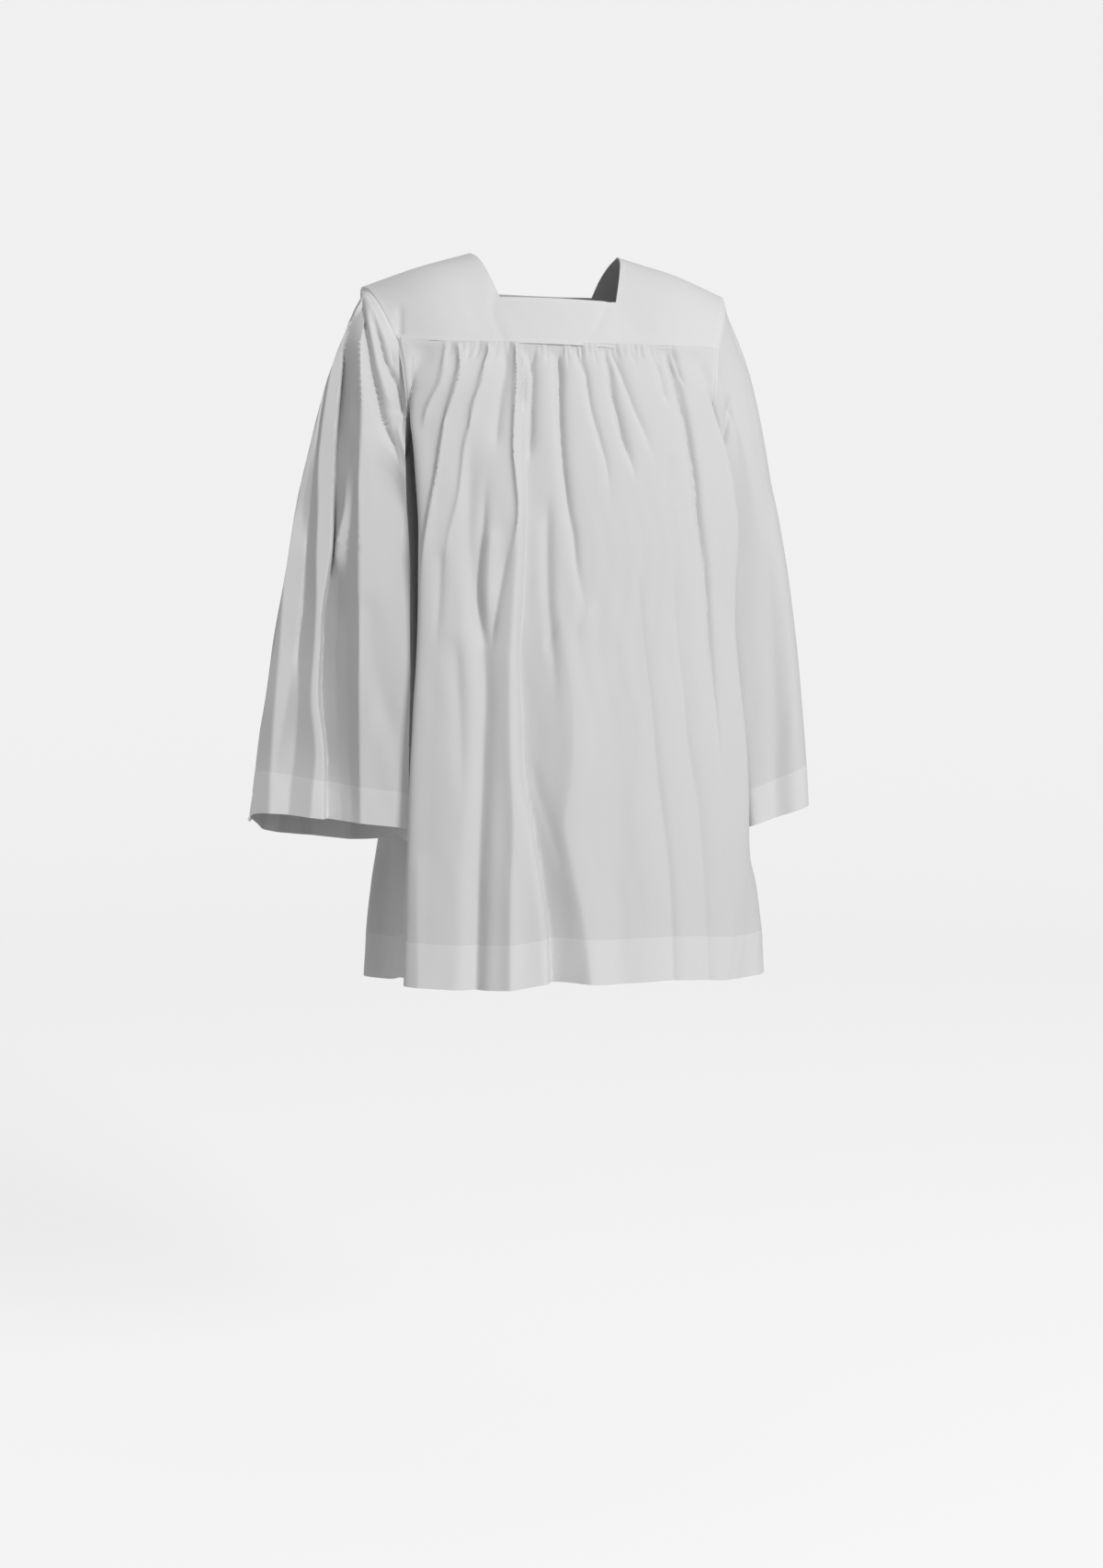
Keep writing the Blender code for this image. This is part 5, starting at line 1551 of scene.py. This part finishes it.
@dataclass
class Sleeve:
    """A wide tube of single cotton with a turned cuff hem."""

    name: str
    side: Side
    levels: Tuple[SleeveLevel, ...]
    front: Tuple[Crease, ...]
    back: Tuple[Crease, ...]
    seed: float
    corner_squares_off: Tuple[float, float] = (0.05, 0.50)
    pleats: Tuple[Pleat, ...] = ()
    pleats_set_in: Tuple[float, float] = (0.0, 0.03)
    wall: float = 0.0009
    hem_wall: float = 0.0014
    columns: int = 320
    rows: int = 150
    closer_rows: float = 1.35
    samples: int = 1200
    closer: float = 0.32
    closest_turn: float = 0.20
    cut_round: float = 0.66
    waviness: float = 0.0010
    rows_by_seam: Tuple[float, ...] = (0.0012, 0.0026, 0.005)
    waves_set_in: Tuple[float, float] = (0.02, 0.15)
    seam_stays_plain: float = 0.035

    def ring(self, values: Dict[str, float], along: float, turns: np.ndarray) -> np.ndarray:
        """Return one plain ring, at turns from its outside towards the front."""
        angle = np.linspace(0.0, 2 * math.pi, self.samples)
        outward = np.cos(angle)
        forward = np.sin(angle)
        at_corner = (forward > 0) & (outward < 0)
        roundness = np.where(at_corner, INNER_FRONT_ROUNDNESS, SLEEVE_ROUNDNESS)
        share = np.array(along)
        at_front, elsewhere = ease(share, *self.corner_squares_off), ease(share, *SQUARES_OFF)
        squared = np.where(at_corner, at_front, elsewhere)
        power = 1.0 + (roundness - 1.0) * squared
        across = np.sign(outward) * np.abs(outward) ** power
        ahead = np.sign(forward) * np.abs(forward) ** power
        middle_x = (values["outer_x"] + values["inner_x"]) / 2
        x = middle_x + (values["outer_x"] - middle_x) * across
        y = np.where(ahead > 0, values["front_y"], -values["back_y"]) * ahead
        side_z = np.where(outward > 0, values["outer_z"], values["inner_z"])
        face_z = np.where(forward > 0, values["front_z"], values["back_z"])
        z = side_z * outward**2 + face_z * forward**2
        z += (self._hoop(values, across, ahead) - z) * ease(share, *LEVELS_OUT)
        line = np.stack([x, y, z], axis=1)
        folded = float(ease(share, *self.pleats_set_in))
        if self.pleats and folded > 0:
            line = self._pleated(line, folded)
        return read_line(line, line, turns)

    @staticmethod
    def _hoop(values: Dict[str, float], across: np.ndarray, ahead: np.ndarray) -> np.ndarray:
        """Return the heights of a hoop that tilts evenly through its four given heights."""
        sides = values["outer_z"] + values["inner_z"]
        faces = values["front_z"] + values["back_z"]
        tilt = (values["outer_z"] - values["inner_z"]) / 2 * across
        tilt += (values["front_z"] - values["back_z"]) / 2 * ahead
        return (sides + faces) / 4 + tilt + (faces - sides) / 4 * (ahead**2 - across**2)

    def _pleated(self, line: np.ndarray, folded: float) -> np.ndarray:
        """Fold the front of one ring.

        Args:
            line: The plain ring's points.
            folded: 1 where the pleats are whole, and less near the armhole.

        Returns:
            The folded ring's points, evenly spaced.
        """
        half = lengths_along(line)[self.samples // 2]
        fractions = np.linspace(0.0, 1.0, self.samples)
        even = read_line(line, line, fractions)
        front = fractions < half
        out = even[:, 0] * self.side.value
        places, depths = zip(*(pleat.at(even[:, 2]) for pleat in self.pleats))
        behind = np.zeros(len(even))
        for number in range(1, len(places)):
            width = np.maximum(places[number] - places[number - 1], LEAST_PLEAT_WIDTH)
            part = np.clip((out - places[number - 1]) / width, 0.0, 1.0)
            behind += (depths[number] - depths[number - 1]) * part
        inner = read_table(SLEEVE_INNER_EDGE, even[:, 2])
        leans = INNER_EDGE_LEANS * ease(-even[:, 2], *INNER_EDGE_LEANS_FROM)
        target = read_table(SLEEVE_FRONT_PLANE, even[:, 2]) + behind
        target -= leans * np.maximum(places[0] - out, 0.0)
        target = np.where(out > places[-1], np.maximum(target, even[:, 1]), target)
        share = ease(out, inner, inner + INNER_EDGE_WIDTH) * front * folded
        even[:, 1] += (target - even[:, 1]) * share
        past = even[:, 1] - (read_table(SLEEVE_FRONT_PLANE, even[:, 2]) + depths[-1])
        widest = places[-1] - OUTER_WALL_LEANS * np.maximum(past, 0.0)
        out -= np.where(past > 0, np.maximum(out - widest, 0.0), 0.0) * folded
        even[:, 0] = out * self.side.value
        return self._softened(even)

    def _softened(self, line: np.ndarray, passes: int = 2) -> np.ndarray:
        """Round a ring's sharp corners a little."""
        ring = read_line(line, line, np.linspace(0.0, 1.0, self.samples))[:-1]
        for _ in range(passes):
            ring = (np.roll(ring, 1, axis=0) + 2 * ring + np.roll(ring, -1, axis=0)) / 4
        return np.concatenate([ring, ring[:1]])

    def turns(self) -> np.ndarray:
        """Return where the columns lie round the sleeve, closer together at the front."""
        whole = 2 * math.pi
        even = np.linspace(0.0, 1.0, self.columns + 1)
        swing = np.sin(whole * (even - self.closest_turn)) + math.sin(whole * self.closest_turn)
        return even - self.closer / whole * swing

    def make(self, armhole: np.ndarray) -> Cloth:
        """Hang the sleeve from its armhole.

        Args:
            armhole: The closed line of the armhole, from the shoulder round by the front.

        Returns:
            The sleeve's grid of cloth.
        """
        turns = self.turns()
        start_line = read_line(armhole, armhole, turns)
        start = {
            "outer_x": start_line[0, 0],
            "inner_x": start_line[start_line[:, 2].argmin(), 0],
            "front_y": start_line[:, 1].min(),
            "back_y": start_line[:, 1].max(),
            "outer_z": start_line[:, 2].max(),
            "front_z": np.interp(0.25, turns, start_line[:, 2]),
            "inner_z": start_line[:, 2].min(),
            "back_z": np.interp(0.75, turns, start_line[:, 2]),
        }
        length = start_line[0, 2] - self.levels[-1].outer_z
        near = np.array(self.rows_by_seam) / length
        even = np.linspace(0.0, 1.0, self.rows + 1 - len(near))
        along = np.sort(np.concatenate([even**self.closer_rows, near]))
        keys = np.array([0.0, *(level.along for level in self.levels)])
        columns = {}
        for name, first in start.items():
            values = np.array([[first], *([getattr(level, name)] for level in self.levels)])
            columns[name] = smooth(keys, values, along)[:, 0]
        misfit = start_line - self.ring(start, 0.0, turns)
        rows = []
        for row, share in enumerate(along):
            values = {name: column[row] for name, column in columns.items()}
            fade = 1 - float(ease(np.array(share), 0.0, ARMHOLE_FADE))
            rows.append(self.ring(values, share, turns) + misfit * fade)
        return self._finish(np.array(rows), along, turns, length)

    def _finish(
        self, points: np.ndarray, along: np.ndarray, turns: np.ndarray, length: float
    ) -> Cloth:
        """Crease the plain tube and give it its hem."""
        ones = np.ones((len(along), len(turns)))
        above = (1 - along)[:, None] * length * ones
        from_armhole = along[:, None] * length * ones
        across = turns[None, :] * self.cut_round * ones
        turned = hemmed(above, CUFF_HEM)
        wall = self.wall + (self.hem_wall - self.wall) * turned
        cloth = Cloth(points, -self.side.value, wall, across, above, from_armhole, ring=True)
        facing = cloth.normals()
        next_to_body = 1 - ease(-facing[..., 0] * self.side.value, *NEXT_TO_BODY)
        lift = creased(points, self.front, -facing[..., 1] + SLEEVE_FRONT_REACH)
        lift += creased(points, self.back, facing[..., 1] + SLEEVE_BACK_REACH)
        lift += rumple(points, self.waviness, self.seed) * ease(from_armhole, *self.waves_set_in)
        lift *= next_to_body * ease(from_armhole, 0.0, self.seam_stays_plain)
        lift += (self.hem_wall - self.wall) / 2 * turned
        lift -= sunk(from_armhole)
        lift[:, -1] = lift[:, 0]
        cloth.move_out(lift)
        cloth.points[:, -1] = cloth.points[:, 0]
        return cloth


# ---------------------------------------------------------------------------------------
# Sewing.
# ---------------------------------------------------------------------------------------


@dataclass(frozen=True)
class Stitching:
    """A row of lockstitches along a line on the cloth."""

    pitch: float = 0.0028
    length: float = 0.0021
    width: float = 0.00045
    height: float = 0.00018

    def model(self) -> Tuple[np.ndarray, List[Tuple[int, ...]]]:
        """Return one stitch: its points, with its length along X, and its faces, in order."""
        bpy.ops.object.select_all(action="DESELECT")
        bpy.ops.mesh.primitive_uv_sphere_add(segments=6, ring_count=4, radius=0.5)
        stitch = bpy.context.active_object
        bpy.ops.transform.resize(value=(self.length, self.width, 2 * self.height))
        bpy.ops.object.transform_apply(scale=True)
        points = np.array([vertex.co[:] for vertex in stitch.data.vertices])
        # The sphere's faces come in another order each run, so they are sorted.
        faces = sorted(tuple(face.vertices) for face in stitch.data.polygons)
        bpy.data.objects.remove(stitch, do_unlink=True)
        return points, faces

    def sew(
        self,
        name: str,
        line: np.ndarray,
        out: np.ndarray,
        material: bpy.types.Material,
    ) -> bpy.types.Object:
        """Sew along a line.

        Args:
            name: The piece's name.
            line: The line's points.
            out: The way out of the cloth at each of them.
            material: The thread.

        Returns:
            All the stitches as one object.
        """
        stitch, faces = self.model()
        length = np.linalg.norm(np.diff(line, axis=0), axis=1).sum()
        count = int(length / self.pitch)
        fractions = (np.arange(count) + 0.5) / count
        places = read_line(line, line, fractions)
        along = unit(read_line(line, np.gradient(line, axis=0), fractions))
        up = unit(read_line(line, out, fractions))
        beside = unit(np.cross(up, along))
        points: List[np.ndarray] = []
        cells: List[Tuple[int, ...]] = []
        for place, *axes in zip(places, along, beside, up):
            start = len(points) * len(stitch)
            cells.extend(tuple(start + index for index in face) for face in faces)
            points.append(place + stitch @ np.array(axes))
        mesh = bpy.data.meshes.new(name)
        mesh.from_pydata(np.concatenate(points).tolist(), [], cells)
        mesh.shade_smooth()
        mesh.materials.append(material)
        piece = bpy.data.objects.new(name, mesh)
        bpy.context.scene.collection.objects.link(piece)
        return piece


# ---------------------------------------------------------------------------------------
# The garment and the studio.
# ---------------------------------------------------------------------------------------


@dataclass
class Surplice:
    """The whole garment."""

    tailor: Tailor = field(default_factory=Tailor)
    stitching: Stitching = field(default_factory=Stitching)
    pieces: Dict[str, bpy.types.Object] = field(default_factory=dict)
    cloths: Dict[str, Cloth] = field(default_factory=dict)

    def build(self) -> None:
        """Make every piece."""
        yokes = (
            Yoke("yoke_front", Facing.FRONT, FRONT_YOKE, FRONT_YOKE_CREASES),
            Yoke("yoke_back", Facing.BACK, BACK_YOKE),
        )
        panels = (
            Panel(
                "panel_front", Facing.FRONT, FRONT_LEVELS, FRONT_ARMHOLE, FRONT_ROWS_ABOVE,
                FRONT_HEM_WAVE,
                FRONT_CREASES + SmallGathers(FRONT_SMALL_GATHERS, FRONT_ROWS_ABOVE[0]).creases(),
                seed=0.4,
            ),
            Panel(
                "panel_back", Facing.BACK, BACK_LEVELS, BACK_ARMHOLE, BACK_ROWS_ABOVE,
                BACK_HEM_WAVE,
                BACK_CREASES + SmallGathers(BACK_SMALL_GATHERS, BACK_ROWS_ABOVE[0]).creases(),
                seed=1.9,
            ),
        )
        sleeves = (
            Sleeve(
                "sleeve_right", Side.RIGHT, RIGHT_SLEEVE, RIGHT_SLEEVE_FRONT, RIGHT_SLEEVE_BACK,
                seed=0.9, pleats=RIGHT_SLEEVE_PLEATS,
            ),
            Sleeve(
                "sleeve_left", Side.LEFT, LEFT_SLEEVE, LEFT_SLEEVE_FRONT, LEFT_SLEEVE_BACK,
                seed=2.6, corner_squares_off=(0.0, 0.20),
            ),
        )
        # The yokes' doubled cotton is set less white than the hems' doubled cloth: a painted shade
        # that offsets the stronger light falling on their upward-facing tops.
        doubled = Cotton(single=(0.640, 0.640, 0.642), double=(0.732, 0.732, 0.734), doubled=True)
        for yoke in yokes:
            self._add(yoke.name, yoke.make(), doubled, yoke.in_neck)
        for panel in panels:
            self._add(panel.name, panel.make(), Cotton(hem=BODY_HEM))
        for sleeve in sleeves:
            armhole = self._armhole(sleeve.side, yokes, panels)
            self._add(sleeve.name, sleeve.make(armhole), Cotton(hem=CUFF_HEM))
        self._sew()

    def _armhole(self, side: Side, yokes: Sequence[Yoke], panels: Sequence[Panel]) -> np.ndarray:
        """Return the closed line of one armhole, from the shoulder round by the front."""
        front_yoke, back_yoke = (yoke.sides(side) for yoke in yokes)
        shares = np.linspace(0.0, 1.0, 60)
        halves = []
        for panel in panels:
            line = Section(np.array(panel.armhole)).at(shares) * (side.value, 1.0, 1.0)
            if side is Side.LEFT:
                line[:, 2] -= LEFT_SETTLES * (1 - ease(shares, 0.0, 1.0))
            halves.append(line)
        front, back = halves
        return np.concatenate([front_yoke, front[1:], back[-2::-1], back_yoke[-2::-1]])

    def _add(
        self,
        name: str,
        cloth: Cloth,
        finish: Cotton,
        hole: Optional[Callable[[float, float], bool]] = None,
    ) -> None:
        """Make one piece of cloth and put it in place of its solid."""
        material = finish.material(name + "_cotton")
        piece = self.tailor.sew(name + "_cloth", cloth, material, hole)
        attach(piece, BODY)
        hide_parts(name)
        name + "_cotton"
        self.pieces[name] = piece
        self.cloths[name] = cloth
        LOG.info("%s: %d faces", piece.name, len(piece.data.polygons))

    def _sew(self) -> None:
        """Sew the hems, the cuffs and the yokes' lower edges."""
        thread = Thread().material("white_thread")
        for owner, (name, above) in STITCHES.items():
            line, out = self.cloths[owner].row_at(above)
            piece = self.stitching.sew(name, line, out, thread)
            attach(piece, BODY)
            self.pieces[name] = piece
            LOG.info("%s: %d faces", name, len(piece.data.polygons))


@dataclass
class Studio:
    """A plain pale room without corners, soft lights and the camera."""

    floor_z: float = -1.535
    radius: float = 7.0
    height: float = 6.0
    bend: float = 1.8
    camera_place: Point = (-0.5724, -2.9449, -0.4236)
    camera_tilt: float = 85.866
    camera_turn: float = -11.172
    lens: float = 56.34
    sensor: float = 36.0
    chest: Point = (0.0, 0.0, -0.40)
    pale: float = 0.30
    glow: float = 0.71
    air: float = 0.40

    def build(self) -> None:
        """Make the room, the lights and the camera."""
        self._room()
        self._light("key", (2.52, -5.47, 2.1), size=1.4, power=253.0)
        self._light("top", (0.6, -1.0, 3.0), size=1.6, power=7.0)
        self._world()
        self._camera()
        bpy.context.scene.view_settings.view_transform = "Standard"

    def _room(self) -> None:
        """Make the floor and the wall round it as one sheet that bends between them."""
        bpy.ops.object.select_all(action="DESELECT")
        bpy.ops.mesh.primitive_circle_add(
            vertices=96, radius=self.radius, fill_type="NGON", location=(0.0, 0.0, self.floor_z)
        )
        room = bpy.context.active_object
        room.name = "studio_room"
        bpy.ops.object.transform_apply(location=True)
        bpy.ops.object.mode_set(mode="EDIT")
        bpy.ops.mesh.select_all(action="SELECT")
        bpy.ops.mesh.extrude_edges_move(TRANSFORM_OT_translate={"value": (0.0, 0.0, self.height)})
        bpy.ops.mesh.select_all(action="SELECT")
        bpy.ops.mesh.normals_make_consistent(inside=True)
        bpy.ops.mesh.select_all(action="DESELECT")
        bpy.ops.object.mode_set(mode="OBJECT")
        bend = room.modifiers.new("bend", "BEVEL")
        bend.width = self.bend
        bend.segments = 20
        bend.limit_method = "ANGLE"
        bend.angle_limit = math.radians(60)
        bpy.ops.object.modifier_apply(modifier=bend.name)
        bpy.ops.object.shade_smooth()
        graph = Graph("studio_paper")
        graph.set(Base_Color=(*[self.pale] * 3, 1.0), Roughness=1.0, Specular_IOR_Level=0.0)
        graph.set(Emission_Color=(1.0, 1.0, 1.0, 1.0), Emission_Strength=self.glow)
        room.data.materials.append(graph.material)
        room.visible_diffuse = False
        room.visible_shadow = False

    def _light(self, name: str, place: Point, size: float, power: float) -> None:
        """Add a square soft light that points at the chest.

        Args:
            name: Its name.
            place: Where it stands.
            size: Its side.
            power: Its power in watts.
        """
        bpy.ops.object.light_add(type="AREA", location=place)
        lamp = bpy.context.active_object
        lamp.name = "light_" + name
        lamp.data.size = size
        lamp.data.energy = power
        away = np.array(place) - np.array(self.chest)
        flat = math.hypot(away[0], away[1])
        lamp.rotation_euler = (math.atan2(flat, away[2]), 0.0, math.atan2(away[0], -away[1]))

    def _world(self) -> None:
        """Make the air of the studio pale."""
        world = bpy.data.worlds.new("studio_air")
        world.use_nodes = True
        air = world.node_tree.nodes["Background"]
        air.inputs["Color"].default_value = (1.0, 1.0, 1.0, 1.0)
        air.inputs["Strength"].default_value = self.air
        bpy.context.scene.world = world

    def _camera(self) -> None:
        """Set the camera at the height of the chest, a little to the wearer's right."""
        data = bpy.data.cameras.new("camera")
        data.sensor_width = self.sensor
        data.lens = self.lens
        camera = bpy.data.objects.new("camera", data)
        camera.location = self.camera_place
        tilt, turn = math.radians(self.camera_tilt), math.radians(self.camera_turn)
        camera.rotation_euler = (tilt, 0.0, turn)
        bpy.context.scene.collection.objects.link(camera)
        bpy.context.scene.camera = camera


def main() -> None:
    """Build the garment and the studio."""
    logging.basicConfig(level=logging.INFO, format="%(message)s")
    Surplice().build()
    Studio().build()


if __name__ == "__main__":
    main()
